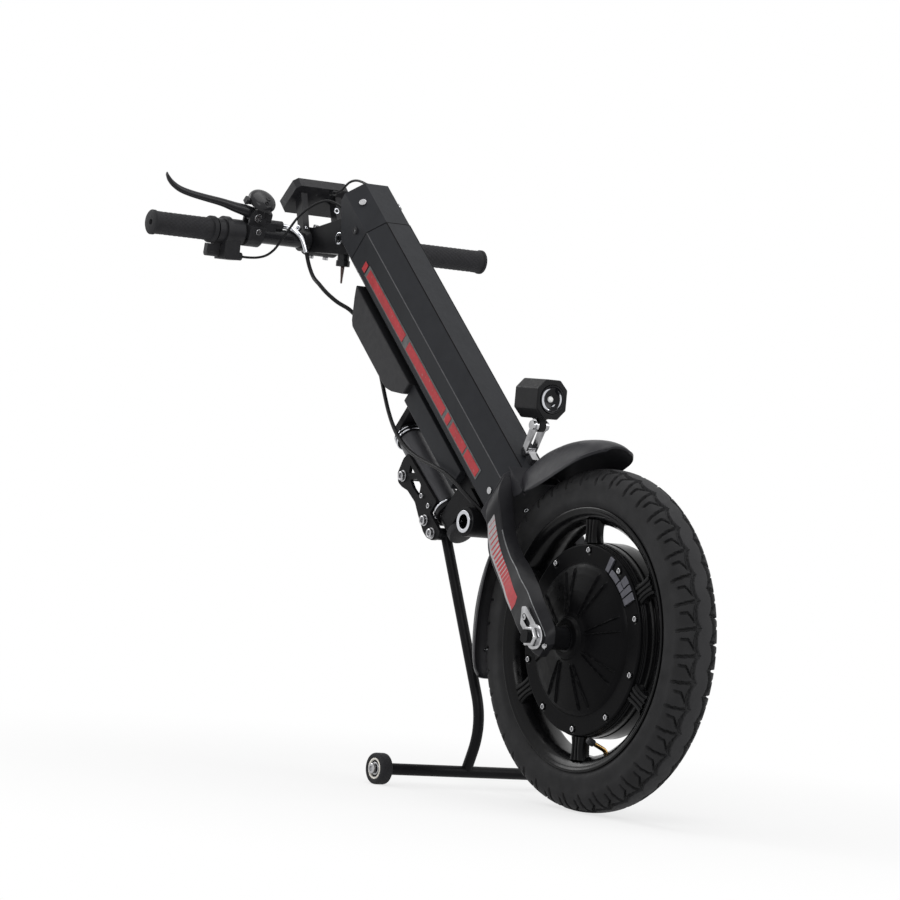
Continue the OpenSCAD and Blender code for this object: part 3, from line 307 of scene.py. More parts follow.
def settled(name, mesh, finish, solid, replaces, sharp, bevel):
    """Object of a mesh with smooth faces, hard or rounded edges above an angle, and its finish.

    It rides on the body of a solid and, where it replaces it, takes its place.
    """
    mesh.materials.clear()
    mesh.materials.append(finishes[finish])
    mesh.shade_smooth()
    obj = bpy.data.objects.new(name, mesh)
    bpy.context.scene.collection.objects.link(obj)
    if bevel:
        mod = obj.modifiers.new("rounded_edges", "BEVEL")
        mod.width, mod.segments, mod.limit_method = bevel * MM, 2, "ANGLE"
        mod.angle_limit, mod.harden_normals = math.radians(sharp), True
        mod.use_clamp_overlap = True
    else:
        mesh.set_sharp_from_angle(angle=math.radians(sharp))
    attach(obj, node_body[solid])
    if replaces:
        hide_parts(solid)
    return obj


def piece(name, shape, finish, solid, replaces=True, sharp=35, bevel=0.0, outward=True):
    """Object of a skin in millimetres, at the origin, on the body of a solid."""
    points, faces = shape
    mesh = bpy.data.meshes.new(name)
    mesh.from_pydata((points * MM).tolist(), [], faces)
    if outward:
        cleaned(mesh, 1e-7)
    return settled(name, mesh, finish, solid, replaces, sharp, bevel)


def softened(solid, finish, bevel):
    """Copy of a solid with its triangles merged to flat faces and its hard edges rounded."""
    mesh = frame["nodes"][solid].data.copy()
    mesh.name = solid + "_rounded"
    cleaned(mesh, 2e-6, math.radians(0.3))
    for name in ("custom_normal", "sharp_edge", "sharp_face"):
        if name in mesh.attributes:
            mesh.attributes.remove(mesh.attributes[name])
    return settled(solid + "_rounded", mesh, finish, solid, True, 28, bevel)


def cord(name, route, r, solid):
    """Smooth round cord through a route's points, in the place of a solid, with both ends on the column."""
    line = smooth_line(route, 6) * MM
    curve = bpy.data.curves.new(name, "CURVE")
    curve.dimensions, curve.bevel_depth = "3D", r * MM
    curve.bevel_resolution, curve.use_fill_caps = 3, True
    spline = curve.splines.new("POLY")
    spline.points.add(len(line) - 1)
    spline.points.foreach_set("co", np.column_stack([line, np.ones(len(line))]).ravel())
    curve.materials.append(finishes["cable_black"])
    obj = bpy.data.objects.new(name, curve)
    bpy.context.scene.collection.objects.link(obj)
    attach(obj, "column")
    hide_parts(solid)


# shader nodes


def feed(tree, target, inputs):
    """Sets a node's inputs, each to a constant or from the output that feeds it."""
    for key, value in inputs.items():
        if isinstance(value, bpy.types.NodeSocket):
            tree.links.new(value, target.inputs[key])
        else:
            target.inputs[key].default_value = value


def shader_node(tree, kind, inputs=None, **settings):
    """New node of a kind with its settings and inputs."""
    made = tree.nodes.new("ShaderNode" + kind)
    for key, value in settings.items():
        setattr(made, key, value)
    feed(tree, made, inputs or {})
    return made


def new_material(name):
    """New material with its node tree, principled shader and coordinates."""
    m = bpy.data.materials.new(name)
    m.use_nodes = True
    tree = m.node_tree
    return m, tree, tree.nodes["Principled BSDF"], shader_node(tree, "TexCoord").outputs


def noise(tree, vector, scale, detail=3.0):
    """Noise of that many features to the metre."""
    inputs = {"Vector": vector, "Scale": scale, "Detail": detail}
    return shader_node(tree, "TexNoise", inputs).outputs["Fac"]


def ramp(tree, factor, low, high):
    """Colour between two stops, each a place and a colour, over a factor."""
    made = shader_node(tree, "ValToRGB", {"Fac": factor})
    for element, (at, colour) in zip(made.color_ramp.elements, (low, high)):
        element.position = at
        element.color = (*colour, 1.0)
    return made.outputs["Color"]


def mottled(tree, factor, colour, less, more):
    """Colour times less to times more over a noise, and never past white."""
    c = np.asarray(colour, float)
    return ramp(tree, factor, (0.3, c * less), (0.7, np.minimum(c * more, 1)))


def spread(tree, value, low, high, first=0.3, last=0.7, **settings):
    """A value from first to last carried to low to high."""
    inputs = {"Value": value, "From Min": first, "From Max": last, "To Min": low, "To Max": high}
    return shader_node(tree, "MapRange", inputs, **settings).outputs["Result"]


def compute(tree, operation, a, b=0.0, clamp=False):
    """Result of one step of arithmetic."""
    return shader_node(tree, "Math", {0: a, 1: b}, operation=operation, use_clamp=clamp).outputs[0]


def mixed(tree, factor, a, b):
    """Colour from a to b by a factor."""
    return shader_node(tree, "Mix", {"Factor": factor, "A": a, "B": b}, data_type="RGBA").outputs["Result"]


def drawn_out(tree, coords, squeeze):
    """Object coordinates turned by the column's lean and squeezed along it, which draws a pattern out."""
    inputs = {"Vector": coords["Object"], "Rotation": (LEAN, 0, 0), "Scale": (1, 1, squeeze)}
    return shader_node(tree, "Mapping", inputs).outputs["Vector"]


def relief(tree, height, strength):
    """Normal of a relief up to 0.2 mm high."""
    inputs = {"Height": height, "Strength": strength, "Distance": 0.0002}
    return shader_node(tree, "Bump", inputs).outputs["Normal"]


# finishes


def surface(
    name, colour, rough, metal=0.0, mottle=0.12, patch=30.0, grain=900.0, bump=0.12, brushed=False, spec=0.5
):
    """Colour varied by broad noise, roughness by finer noise, and a fine relief, all in the row frame.

    A brushed finish draws them out along the column.
    """
    m, tree, shader, coords = new_material(name)
    vector = drawn_out(tree, coords, 0.05) if brushed else coords["Object"]
    uneven = noise(tree, vector, patch * 4, 4.0)
    feed(tree, shader, {
        "Base Color": mottled(tree, noise(tree, vector, patch, 5.0), colour, 1 - mottle, 1 + mottle),
        "Roughness": spread(tree, uneven, max(rough - 0.07, 0.02), min(rough + 0.07, 1)),
        "Metallic": metal,
        "Specular IOR Level": spec,
        "Normal": relief(tree, noise(tree, vector, grain, 2.0), bump),
    })
    return m


def rubber_with_highlight_band(name, colour):
    """Dull mottled tyre rubber, paler on the running band up to 9 mm from the middle, fading by 14 mm."""
    m = surface(name, colour, 0.66, mottle=0.22, patch=45, grain=1500, bump=0.25, spec=0.12)
    tree = m.node_tree
    base = tree.nodes["Principled BSDF"].inputs["Base Color"]
    place = shader_node(tree, "SeparateXYZ", {0: shader_node(tree, "TexCoord").outputs["Object"]})
    away = compute(tree, "ABSOLUTE", place.outputs["X"])
    # painted highlight: the paler running band stands in for the light on the middle rib
    wear_and_highlight = spread(tree, away, 0.32, 0.0, 0.009, 0.014)
    pale = (*[min(2.6 * v, 1) for v in colour], 1)
    tree.links.new(mixed(tree, wear_and_highlight, base.links[0].from_socket, pale), base)
    return m


def worn_red(name, colour):
    """Red reflective film: broad mottle, light scratches from a stretched noise, and a honeycomb relief."""
    m, tree, shader, coords = new_material(name)
    vector = drawn_out(tree, coords, 0.6)
    broad = mottled(tree, noise(tree, vector, 70.0, 4.0), colour, 0.8, 1.15)
    wear_and_highlight = ramp(tree, noise(tree, vector, 240.0), (0.62, (0, 0, 0)), (0.74, (1, 1, 1)))
    cells = shader_node(tree, "TexVoronoi", {"Vector": coords["Object"], "Scale": 500.0})
    feed(tree, shader, {
        "Base Color": mixed(tree, wear_and_highlight, broad, (0.3, 0.13, 0.12, 1)),
        "Roughness": spread(tree, noise(tree, coords["Object"], 300.0), 0.3, 0.5),
        "Specular IOR Level": 0.3,
        "Normal": relief(tree, cells.outputs["Distance"], 0.1),
    })
    return m


def stripes(name, colour):
    """Film on the fork by its own UV, where u runs up the blade and v across it.

    The red share of each stripe grows from little at the top to all of it near the foot, and a pale line
    stays along the rear edge as a painted highlight of the bevel there.
    """
    count, slope, edge = 20.0, 0.012, 0.84
    m, tree, shader, coords = new_material(name)
    place = shader_node(tree, "SeparateXYZ", {0: coords["UV"]}).outputs
    u, v = place["X"], place["Y"]
    slant = compute(tree, "SUBTRACT", u, compute(tree, "MULTIPLY", v, slope))
    phase = compute(tree, "FRACT", compute(tree, "MULTIPLY", slant, count))
    red = compute(tree, "LESS_THAN", phase, spread(tree, u, 1.02, 0.12, 0.26, 0.97))
    # past the edge share of v the film stays pale: a painted highlight along the blade's rear bevel
    inside = compute(tree, "MULTIPLY", red, compute(tree, "LESS_THAN", v, edge))
    fine = noise(tree, coords["Object"], 300.0)
    pale = ramp(tree, fine, (0.3, (0.3, 0.29, 0.3)), (0.7, (0.42, 0.4, 0.41)))
    full = mottled(tree, noise(tree, coords["Object"], 200.0), colour, 0.85, 1.15)
    feed(tree, shader, {
        "Base Color": mixed(tree, inside, pale, full),
        "Roughness": spread(tree, noise(tree, coords["Object"], 400.0), 0.3, 0.5),
        "Specular IOR Level": 0.3,
    })
    return m


finishes = {}


def make_finishes(c):
    """All finishes, from the user's colours where one is named.

    Each row is name, colour, roughness and what sets the finish apart.
    """
    for name, colour, rough, looks in (
        ("cast_black", c.casting, 0.22, dict(mottle=0.15, patch=25, grain=700, bump=0.04, spec=0.09)),
        ("cover_black", c.casting, 0.34, dict(mottle=0.15, patch=40, grain=1100, bump=0.08, spec=0.04)),
        ("rim_gloss", c.casting, 0.2, dict(mottle=0.15, patch=25, grain=600, bump=0.02, spec=0.14)),
        # the pads' lighter blue-grey is a painted reflection
        ("pad_satin_reflection", (0.085, 0.085, 0.1), 0.32, dict(metal=0.6, mottle=0.2, patch=90, bump=0.08)),
        ("frame_black", c.frame, 0.38, dict(patch=35, grain=1400, spec=0.07)),
        ("lamp_black", c.frame, 0.42, dict(mottle=0.1, patch=40, grain=1600, bump=0.16, spec=0.14)),
        (
            "head_grey", (0.066, 0.066, 0.072), 0.4,
            dict(mottle=0.1, patch=35, grain=1200, bump=0.08, spec=0.2),
        ),
        ("fork_black", c.fork, 0.36, dict(patch=35, grain=1400, spec=0.1)),
        # pale lines that are painted highlights on the edges of the fork and the column
        ("fork_edge_highlight", (0.13, 0.135, 0.14), 0.4, dict(metal=0.3, mottle=0.35, patch=160, bump=0.05)),
        ("column_edge_highlight", (0.055, 0.056, 0.06), 0.45, dict(mottle=0.3, patch=120, bump=0.05, spec=0.3)),
        ("crown_black", c.guard, 0.46, dict(mottle=0.1, grain=1500, bump=0.14, spec=0.1)),
        ("guard_black", c.guard, 0.4, dict(patch=20, grain=1200, bump=0.06, spec=0.12)),
        (
            "column_black", c.column, 0.42,
            dict(mottle=0.08, patch=60, grain=1800, bump=0.06, brushed=True, spec=0.09),
        ),
        ("moulded_black", c.plastic, 0.5, dict(mottle=0.08, patch=40, grain=1600, bump=0.22, spec=0.2)),
        ("gloss_black", c.plastic, 0.22, dict(mottle=0.08, grain=500, bump=0.03, spec=0.2)),
        ("rubber_black", c.plastic, 0.72, dict(mottle=0.14, patch=70, grain=2200, bump=0.3, spec=0.2)),
        ("steel", (0.42, 0.42, 0.43), 0.24, dict(metal=1.0, mottle=0.16, patch=80, bump=0.06)),
        # near black: the dark bolts' own colour, and painted shade on the axle and its spacers between fork
        # and motor
        ("dark_steel_and_shade", (0.007, 0.007, 0.008), 0.34, dict(mottle=0.2, patch=60, bump=0.06, spec=0.1)),
        ("chrome", (0.56, 0.57, 0.6), 0.1, dict(metal=1.0, mottle=0.1, patch=60, grain=500, bump=0.03)),
        (
            "bracket_chrome", (0.4, 0.4, 0.41), 0.14,
            dict(metal=1.0, mottle=0.5, patch=45, grain=500, bump=0.03),
        ),
        ("brass", (0.4, 0.25, 0.09), 0.32, dict(metal=1.0, mottle=0.2, patch=90, bump=0.06)),
        ("key_brown", (0.045, 0.02, 0.016), 0.35, dict(metal=0.2, mottle=0.2, patch=120, bump=0.06)),
        ("magnet_grey", (0.16, 0.16, 0.17), 0.5, dict(metal=0.8, patch=50)),
        ("copper", (0.35, 0.13, 0.06), 0.45, dict(metal=0.9, mottle=0.25, patch=120)),
        ("battery_blue", (0.03, 0.1, 0.3), 0.45, {}),
        ("strip_grey", (0.095, 0.1, 0.1), 0.42, dict(mottle=0.35, patch=160, spec=0.3)),
        ("cable_black", (0.008, 0.008, 0.009), 0.45, dict(mottle=0.15, patch=90, grain=1500, spec=0.15)),
        ("button_grey", (0.1, 0.1, 0.11), 0.55, dict(mottle=0.1, patch=90, grain=1800, bump=0.2)),
        ("screen", (0.008, 0.01, 0.013), 0.12, dict(mottle=0.2, patch=20, grain=300, bump=0.01, spec=0.4)),
        (
            "lens_dark", (0.008, 0.008, 0.01), 0.12,
            dict(mottle=0.1, patch=40, grain=300, bump=0.01, spec=0.14),
        ),
        ("led_white", (0.95, 0.96, 0.96), 0.25, dict(mottle=0.06, patch=200, bump=0.05)),
        ("roller_cream", (0.86, 0.83, 0.76), 0.4, dict(mottle=0.15, patch=120, grain=1200, bump=0.08)),
    ):
        finishes[name] = surface(name, colour, rough, **looks)
    for name, make, colour in (
        ("tyre_rubber", rubber_with_highlight_band, c.tyre),
        ("strip_red", worn_red, c.red),
        ("fork_stripes", stripes, c.red),
    ):
        finishes[name] = make(name, colour)


# sizes and colours that a user would change


def colour_of(label, what, value):
    """Colour property with a name, what it colours and its first value."""
    return FloatVectorProperty(
        name=label, description="Colour of " + what, subtype="COLOR", size=3, default=value, min=0, max=1
    )


def length_of(label, what, value, low, high):
    """Length property in metres with a name, what it measures, its first value and its limits."""
    return FloatProperty(name=label, description=what, unit="LENGTH", default=value, min=low, max=high)


class DriveColours(bpy.types.PropertyGroup):
    """Colours of the drive's finishes"""

    tyre: colour_of("Tyre", "the tyre's rubber", (0.022, 0.022, 0.023))
    casting: colour_of("Casting", "the cast wheel and motor cover", (0.004, 0.004, 0.0045))
    frame: colour_of("Frame", "lugs, stem, dock, stand and lamp housing", (0.008, 0.008, 0.009))
    column: colour_of("Column", "the battery column and its rail", (0.021, 0.022, 0.025))
    fork: colour_of("Fork", "the fork blades", (0.014, 0.014, 0.016))
    guard: colour_of("Mudguards", "mudguards and crown", (0.02, 0.02, 0.023))
    plastic: colour_of("Plastic", "moulded pieces, handlebar and grips", (0.019, 0.019, 0.021))
    red: colour_of("Red strips", "the reflective strips", (0.4, 0.022, 0.03))


class DriveSizes(bpy.types.PropertyGroup):
    """Sizes of the drive's surface forms"""

    tread_depth: length_of("Tread depth", "Depth of the tread's grooves", 0.0046, 0.001, 0.005)
    tread_pitches: IntProperty(
        name="Tread pitches", description="Shoulder blocks round the tyre", default=40, min=36, max=56
    )
    rib_height: length_of("Rib height", "Height of the ribs on the motor cover", 0.0028, 0.001, 0.004)
    grip_pattern: length_of("Grip pattern", "Depth of the grips' pattern", 0.0004, 0.0002, 0.0012)


# operators, one for each piece or group of like pieces


class DRIVE_OT_camera(bpy.types.Operator):
    """Camera at the photograph's place, turned and rolled as it was"""

    bl_idname = "drive.camera"
    bl_label = "Camera"

    def execute(self, context):
        data = bpy.data.cameras.new("photo_camera")
        data.lens, data.sensor_width, data.sensor_fit = 171.07, 36.0, "AUTO"
        data.clip_start, data.clip_end = 0.1, 60.0
        obj = bpy.data.objects.new("photo_camera", data)
        right = Vector((0.8168, -0.5696, 0.0919)).normalized()
        back = Vector((-0.572, -0.8202, 0.001)).normalized()
        up = back.cross(right).normalized()
        turn = Matrix((up.cross(back), up, back)).transposed().to_4x4()
        obj.matrix_world = Matrix.Translation((-3.1825, -4.2072, 0.4344)) @ turn
        context.scene.collection.objects.link(obj)
        context.scene.camera = obj
        return {"FINISHED"}


class DRIVE_OT_finishes(bpy.types.Operator):
    """All finishes from the colours"""

    bl_idname = "drive.finishes"
    bl_label = "Finishes"

    def execute(self, context):
        make_finishes(context.scene.drive_colours)
        return {"FINISHED"}


class DRIVE_OT_cables(bpy.types.Operator):
    """Brake cable, throttle wire and display wire as smooth cords along their routes, and the noodle"""

    bl_idname = "drive.cables"
    bl_label = "Cables"

    def execute(self, context):
        noodle = np.array([
            [46.3, 0, 16], [53.1, -0.9, 15.8], [59.3, -3.5, 14.9], [64.5, -7.6, 13], [68.5, -12.4, 10],
            [71.5, -17.1, 6.1], [73.8, -21.5, 1.4], [75.6, -25.3, -4.1], [77, -28.5, -10],
        ]) + [PERCH_X, 0, 0]
        brake = np.vstack([from_perch([noodle[-1] + 0.2 * unit(noodle[-1] - noodle[-2])]), [
            [-33.3, 682.1, 660.6], [-33.1, 669.1, 645.2], [-35.1, 650.5, 635.9], [-32.6, 633.5, 624.6],
            [-23.7, 618.5, 613.2], [-13.4, 602.8, 604.3], [-7.6, 587.3, 591.8], [-6, 572.2, 577.5],
            [-6.3, 556.4, 563.9], [-8.2, 540.7, 550.4], [-11.2, 525.9, 536], [-14.7, 512.1, 520.9],
            [-18.2, 498.7, 505.3], [-21.4, 485.5, 489.5], [-24.2, 472.1, 473.8], [-26.4, 457.9, 458.7],
            [-28.2, 442.4, 444.9], [-29.7, 425.2, 433.2], [-31.1, 406.7, 423.9], [-32.7, 387, 417.3],
            [-34.1, 366.8, 412.3], [-34.8, 346.4, 407.9], [-35, 326.2, 403], [-34.7, 306.4, 396.4],
            [-34.5, 287.5, 387.8], [-33.9, 269.5, 377.3], [-30.9, 252, 366.4], [-22.9, 237.3, 354.2],
            [-9.3, 228.6, 341.3], [8.5, 224.4, 331.4], [27.1, 219.2, 323.6], [41.8, 208.1, 314.4],
            [48.6, 191.6, 303.9], [48.1, 173, 294.7], [45.6, 154, 286.5], [44.5, 133.7, 282.4],
            [46.9, 113.1, 281.4],
        ], from_column([(50, 14, 112), (50, 14, 98.05)])])
        # the throttle wire enters the cap's slanted rear face square to it
        face, entry = unit([-69.0, -57.5]), np.array([-5.0, 803.6])
        throttle = np.vstack([[
            [-125.45, 711, 663], [-113.5, 711, 663], [-102.4, 704.9, 664.2], [-95.7, 694.4, 667.9],
            [-90.7, 685, 675.4], [-86.8, 677.9, 685.7], [-82.9, 672.1, 696.7], [-78.2, 667.6, 708.1],
            [-72.2, 664.5, 719.2], [-64.4, 661.9, 729.4], [-54.9, 659.2, 738], [-44.7, 655.5, 745.2],
            [-33.9, 649.6, 749.2], [-24.7, 641.1, 745.8], [-18.6, 631.2, 740],
        ], from_column([[-16, *(entry - k * face)] for k in (13, 0.05)])])
        display = np.vstack([[
            [14, 707.95, 764.5], [14, 699, 765.6], [13.2, 688.2, 769], [11.7, 678.3, 774.3],
            [10.3, 667.9, 778.7], [9.5, 656.8, 781], [8.8, 645.5, 781.1], [8, 634.3, 779.4],
            [6.8, 623.2, 776.9], [5.1, 612.3, 774.5],
        ], from_column([(4, -30, 820), (4, -30, 811.1)])])
        cord("brake_cable_cord", brake, 2.8, "brake_cable")
        cord("throttle_wire_cord", throttle, 1.7, "control_wires")
        cord("display_wire_cord", display, 1.7, "control_wires")
        pipe = tube(from_perch(smooth_line(noodle, 10)), 3.4, 24)
        piece("brake_noodle_tube", pipe, "chrome", "brake_noodle")
        return {"FINISHED"}


class DRIVE_OT_tyre(bpy.types.Operator):
    """Tyre with a scalloped middle rib, lateral grooves, hooked shoulder cuts and ringed side walls"""

    bl_idname = "drive.tyre"
    bl_label = "Tyre"

    def execute(self, context):
        sizes = context.scene.drive_sizes
        count, depth = sizes.tread_pitches, sizes.tread_depth / MM
        # middle of the section and its half height, the bead's radius, and where a pitch is measured
        mid, half, bead, rolling = 181.0, 31.0, 154.05, 208
        turn = around(count * 28)
        tread, side = np.linspace(-66, 66, 55), np.linspace(71, 112, 8)
        a = np.radians(np.concatenate([-side[::-1], tread, side]))
        r, x = mid + half * signed_power(np.cos(a), 0.86), half * signed_power(np.sin(a), 0.86)
        across = np.concatenate([[0], np.cumsum(np.hypot(np.diff(r), np.diff(x)))])
        across -= across[len(a) // 2]
        w = np.abs(across)
        pitch = np.where(across < 0, 0.0, 0.5) - turn * count / TURN
        long = TURN * rolling / count
        # the scalloped line beside the middle rib: one arc to a pitch, kinked where a lateral groove starts
        scallop = groove(w - 8.5 - 5.6 * np.abs(np.sin(math.pi * pitch)) ** 0.85, 1.6, 0.9)
        lateral = groove(long * nearest(pitch - 0.1 * (w - 10) / 28), 1.45, 0.8) * between(w, 8, 9, 37, 40)
        # the hooked cut between lateral grooves: straight in from the shoulder, then slanted to the kink
        hook = 0.42 + 0.42 * np.clip((23 - w) / 9, 0, 1)
        hooked = groove(long * nearest(pitch - hook), 1.15, 0.8) * between(w, 14.5, 15.5, 32, 34)
        rings = 0.7 * groove(w - 41.5, 0.5, 0.9) + 0.5 * groove(w - 56, 0.5, 0.9)
        rings += 0.6 * groove(w - 61, 0.8, 1.2)
        cuts = depth * np.maximum(np.maximum(lateral, scallop), 0.8 * hooked)
        lower = cuts + 1.2 * between(w, 38.5, 40.5, 46, 60) - rings
        out_r, out_x = np.gradient(x), -np.gradient(r)
        norm = np.hypot(out_r, out_x)
        outside = from_wheel(r - lower * out_r / norm, turn, x - lower * out_x / norm)
        a = np.radians(np.linspace(104, -104, 8))
        foot = [[163.4, 25.6], [bead, 25.6], [bead, 19]]
        arc = np.column_stack([mid + 25 * np.cos(a), 25 * np.sin(a)])
        inside = np.concatenate([foot, arc, mirrored(foot)])
        shape = skin(np.concatenate([outside, round_axle(inside, turn)], 1), True, True)
        piece("tyre_with_tread", shape, "tyre_rubber", "tyre", sharp=50)
        return {"FINISHED"}


class DRIVE_OT_wheel(bpy.types.Operator):
    """Cast wheel: rim with rounded lips, stepped drum and six ridged spokes"""

    bl_idname = "drive.wheel"
    bl_label = "Cast wheel"

    def execute(self, context):
        spokes, first_spoke = 6, 2.5
        lip = [
            [163, -26.2], [163, -28.2], [161.8, -29], [160, -28.8], [158.8, -27.6], [156.6, -27.2],
            [154.8, -26.2], [150.6, -23.4], [148.8, -21], [144, -14.5], [143, -12],
        ]
        seat = [[163, 26], [154, 25.7], [154, 17], [147, 13]]
        rim = lip + mirrored(lip) + seat + mirrored(seat)
        drum = fillet([
            [105, -22], [116.5, -22], [117, -20], [119, -20], [119.5, -17.5], [121, -17.5], [121, -9],
            [120, -8], [120, -4], [121, -3], [121, 22], [113, 30], [60, 34], [32, 35], [32, 40], [17.5, 40],
            [17.5, 29], [14, 29], [14, 25], [105, 25],
        ], 0.9, 4)
        a = around(256)
        ridge = [[-11, -11], [-11, -22], [-9.5, -23]]
        for k in (-6, 0, 6):
            ridge += [[k - 2, -23], [k - 1.5, -25], [k + 1.5, -25], [k + 2, -23]]
        ridge = fillet(ridge + [[9.5, -23], [11, -22], [11, -11]], 0.8, 3)
        r = np.linspace(119.5, 148, 13)[:, None]
        wide = ridge[:, 0] * (1 + 0.22 * ((r - 133) / 14) ** 2)
        parts = [skin(round_axle(drum, a), True, True)]
        for k in range(spokes):
            turn = math.radians(first_spoke + 360 / spokes * k)
            s, c = math.sin(turn), math.cos(turn)
            parts.append(loft(grid(ridge[:, 1], r * s + wide * c, AXLE_Z + r * c - wide * s)))
        piece("wheel_cast_body", joined(*parts), "cast_black", "wheel_casting", sharp=40)
        band = skin(round_axle(rim, a), True, True)
        piece("wheel_rim_band", band, "rim_gloss", "wheel_casting", sharp=50)
        return {"FINISHED"}


class DRIVE_OT_motor_cover(bpy.types.Operator):
    """Motor cover: turned dome with paired ribs, screw flange with pockets, satin pads with painted
    reflection
    """

    bl_idname = "drive.motor_cover"
    bl_label = "Motor cover"

    def execute(self, context):
        high = context.scene.drive_sizes.rib_height / MM
        pairs = 8
        profile = np.array([
            [17.6, 53], [22.5, 53], [24.5, 52.2], [25.6, 50.4], [27, 47.6], [33, 45.2], [36, 44.4],
            [60, 39.6], [80, 34.6], [89, 31.8], [92.4, 30.2], [94, 28.6], [95, 27.2], [98, 27],
            [115.6, 27], [117.2, 26.5], [118, 25.3], [118, 22.1],
        ])
        length = np.concatenate([[0], np.cumsum(np.hypot(*np.diff(profile, axis=0).T))])
        at = np.sort(np.concatenate([np.linspace(0, length[-1], 104), length]))
        r, x = (np.interp(at, length, column) for column in profile.T)
        a = around(720)
        # the two ribs of a pair spread outwards
        place = np.abs(nearest(a * pairs / TURN - 0.38)) * TURN * r / pairs
        apart = 2.0 + 7.5 * np.clip((r - 34) / 56, 0, 1)
        rib = groove(place - apart, 0.25, 0.95) * between(r, 31, 35, 86, 90)
        beside = nearest(a * COVER_SCREWS / TURN) * TURN * r / COVER_SCREWS
        pocket = groove(np.hypot(beside, r - COVER_SCREW_R), 5.2, 0.8)
        outside = from_wheel(r, a, -(x + high * rib - 1.2 * pocket))
        inside = round_axle([[96, -22.1], [90, -24], [34, -39], [12.5, -39], [12.5, -42], [17.6, -42]], a)
        shape = skin(np.concatenate([outside, inside], 1), True, True)
        piece("motor_cover_ribbed", shape, "cover_black", "motor_cover", sharp=50)
        # pads between the dome and the drum, cut apart by slots; the middle ones leave room for a screw
        pads = []
        for first, last, low, top in (
            (299.5, 304.5, 96.5, 116.5), (305.6, 309.8, 96.5, 116.5), (310.8, 317.6, 96, 104.2),
            (310.8, 316.6, 105.4, 116.5), (331.4, 335.6, 96.5, 116.5), (318.8, 329.8, 96, 104.2),
        ):
            edges = [[low, -26.8], [low, -29.4], [low + 1.2, -30.2]]
            edges += [[top - 1, -29.4], [top, -28.6], [top, -26.8]]
            sweep = np.radians(np.linspace(first, last, 9))[:, None]
            pads.append(loft(round_axle(fillet(edges, 0.5, 3), sweep)))
        # their lighter blue-grey finish is a painted reflection of the light on them
        piece("motor_cover_pads", joined(*pads), "pad_satin_reflection", "motor_cover", sharp=40)
        return {"FINISHED"}


class DRIVE_OT_fork(bpy.types.Operator):
    """Fork blades as smooth lofts with a bevelled front, painted edge highlight and striped film outside"""

    bl_idname = "drive.fork"
    bl_label = "Fork blades"

    def execute(self, context):
        # stations along the column: height, front, rear, inner face, outer face and bevel
        stations = [
            [246, -42, -10, 41.5, 50, 4], [238, -40, 4, 41.5, 56, 8], [224, -30, 11, 41.5, 61.5, 5],
            [206, -19, 20, 42.3, 62.4, 3], [186, -9, 33, 43.5, 63.6, 2.5], [165, -4, 36.5, 45.5, 65.5, 2.5],
            [140, -5, 36, 50, 69.3, 4], [115, -12, 33, 56.4, 75, 6], [92, -18, 30, 63.5, 81.5, 8],
            [62, -26, 26, 74, 88, 10], [36, -29, 23, 82, 94, 10.5], [10, -28, 21, 84, 95, 11],
            [-10, -24, 18, 84, 95, 10], [-22, -12, 12, 84, 95, 6],
        ]
        z, front, rear, inner, outer, bevel = smooth_line(stations, 8)[::-1].T
        # the film: height, front edge and rear edge
        film = np.array([
            [70, 14, 26], [75, 6, 27], [92, 8, 28.4], [113, 10, 30], [130, 11, 31.4], [148, 12, 32.5],
            [162, 11.4, 32.6], [176, 9, 32], [197, 1.5, 24], [212, -5, 13],
        ])
        foot, top = film[0, 0], film[-1, 0]
        at = np.linspace(foot, top, 143)
        low, high = (np.interp(at, film[:, 0], film[:, k])[:, None] for k in (1, 2))
        share = np.linspace(0, 1, 9)
        y = np.minimum(low + (high - low) * share, np.interp(at, z, rear)[:, None] - 1.6)
        x = np.interp(at, z, outer)[:, None] + 0.14
        uv = np.stack(np.broadcast_arrays(((at - foot) / (top - foot))[:, None], share), -1).reshape(-1, 2)
        for side, name in ((-1, "fork_right"), (1, "fork_left")):
            corners = np.stack([grid(side * across, behind, z) for across, behind in (
                (inner, front), (outer, front + bevel), (outer, rear - 1), (outer - 1, rear), (inner, rear)
            )], 1)
            blade = loft(from_column(fillet(corners, 1.4, 4)))
            piece(name + "_blade", blade, "fork_black", name, sharp=40)
            # painted highlight: a pale metal strip along the edge between outer face and front facet stands
            # in for its light
            edge = grid(side * (outer - 0.55), front + bevel + 0.35, z)[(z > -12) & (z < 186)]
            wear_and_highlight = tube(from_column(edge), 0.75, 8)
            piece(name + "_edge", wear_and_highlight, "fork_edge_highlight", name, replaces=False, sharp=60)
            points, faces = skin(from_column(grid(side * x, y, at[:, None])))
            if side > 0:
                faces = [f[::-1] for f in faces]
            obj = piece(
                name + "_film", (points, faces), "fork_stripes", name,
                replaces=False, outward=False,
            )
            layer = obj.data.uv_layers.new(name="film")
            layer.data.foreach_set("uv", uv[np.array(faces).ravel()].ravel())
        return {"FINISHED"}


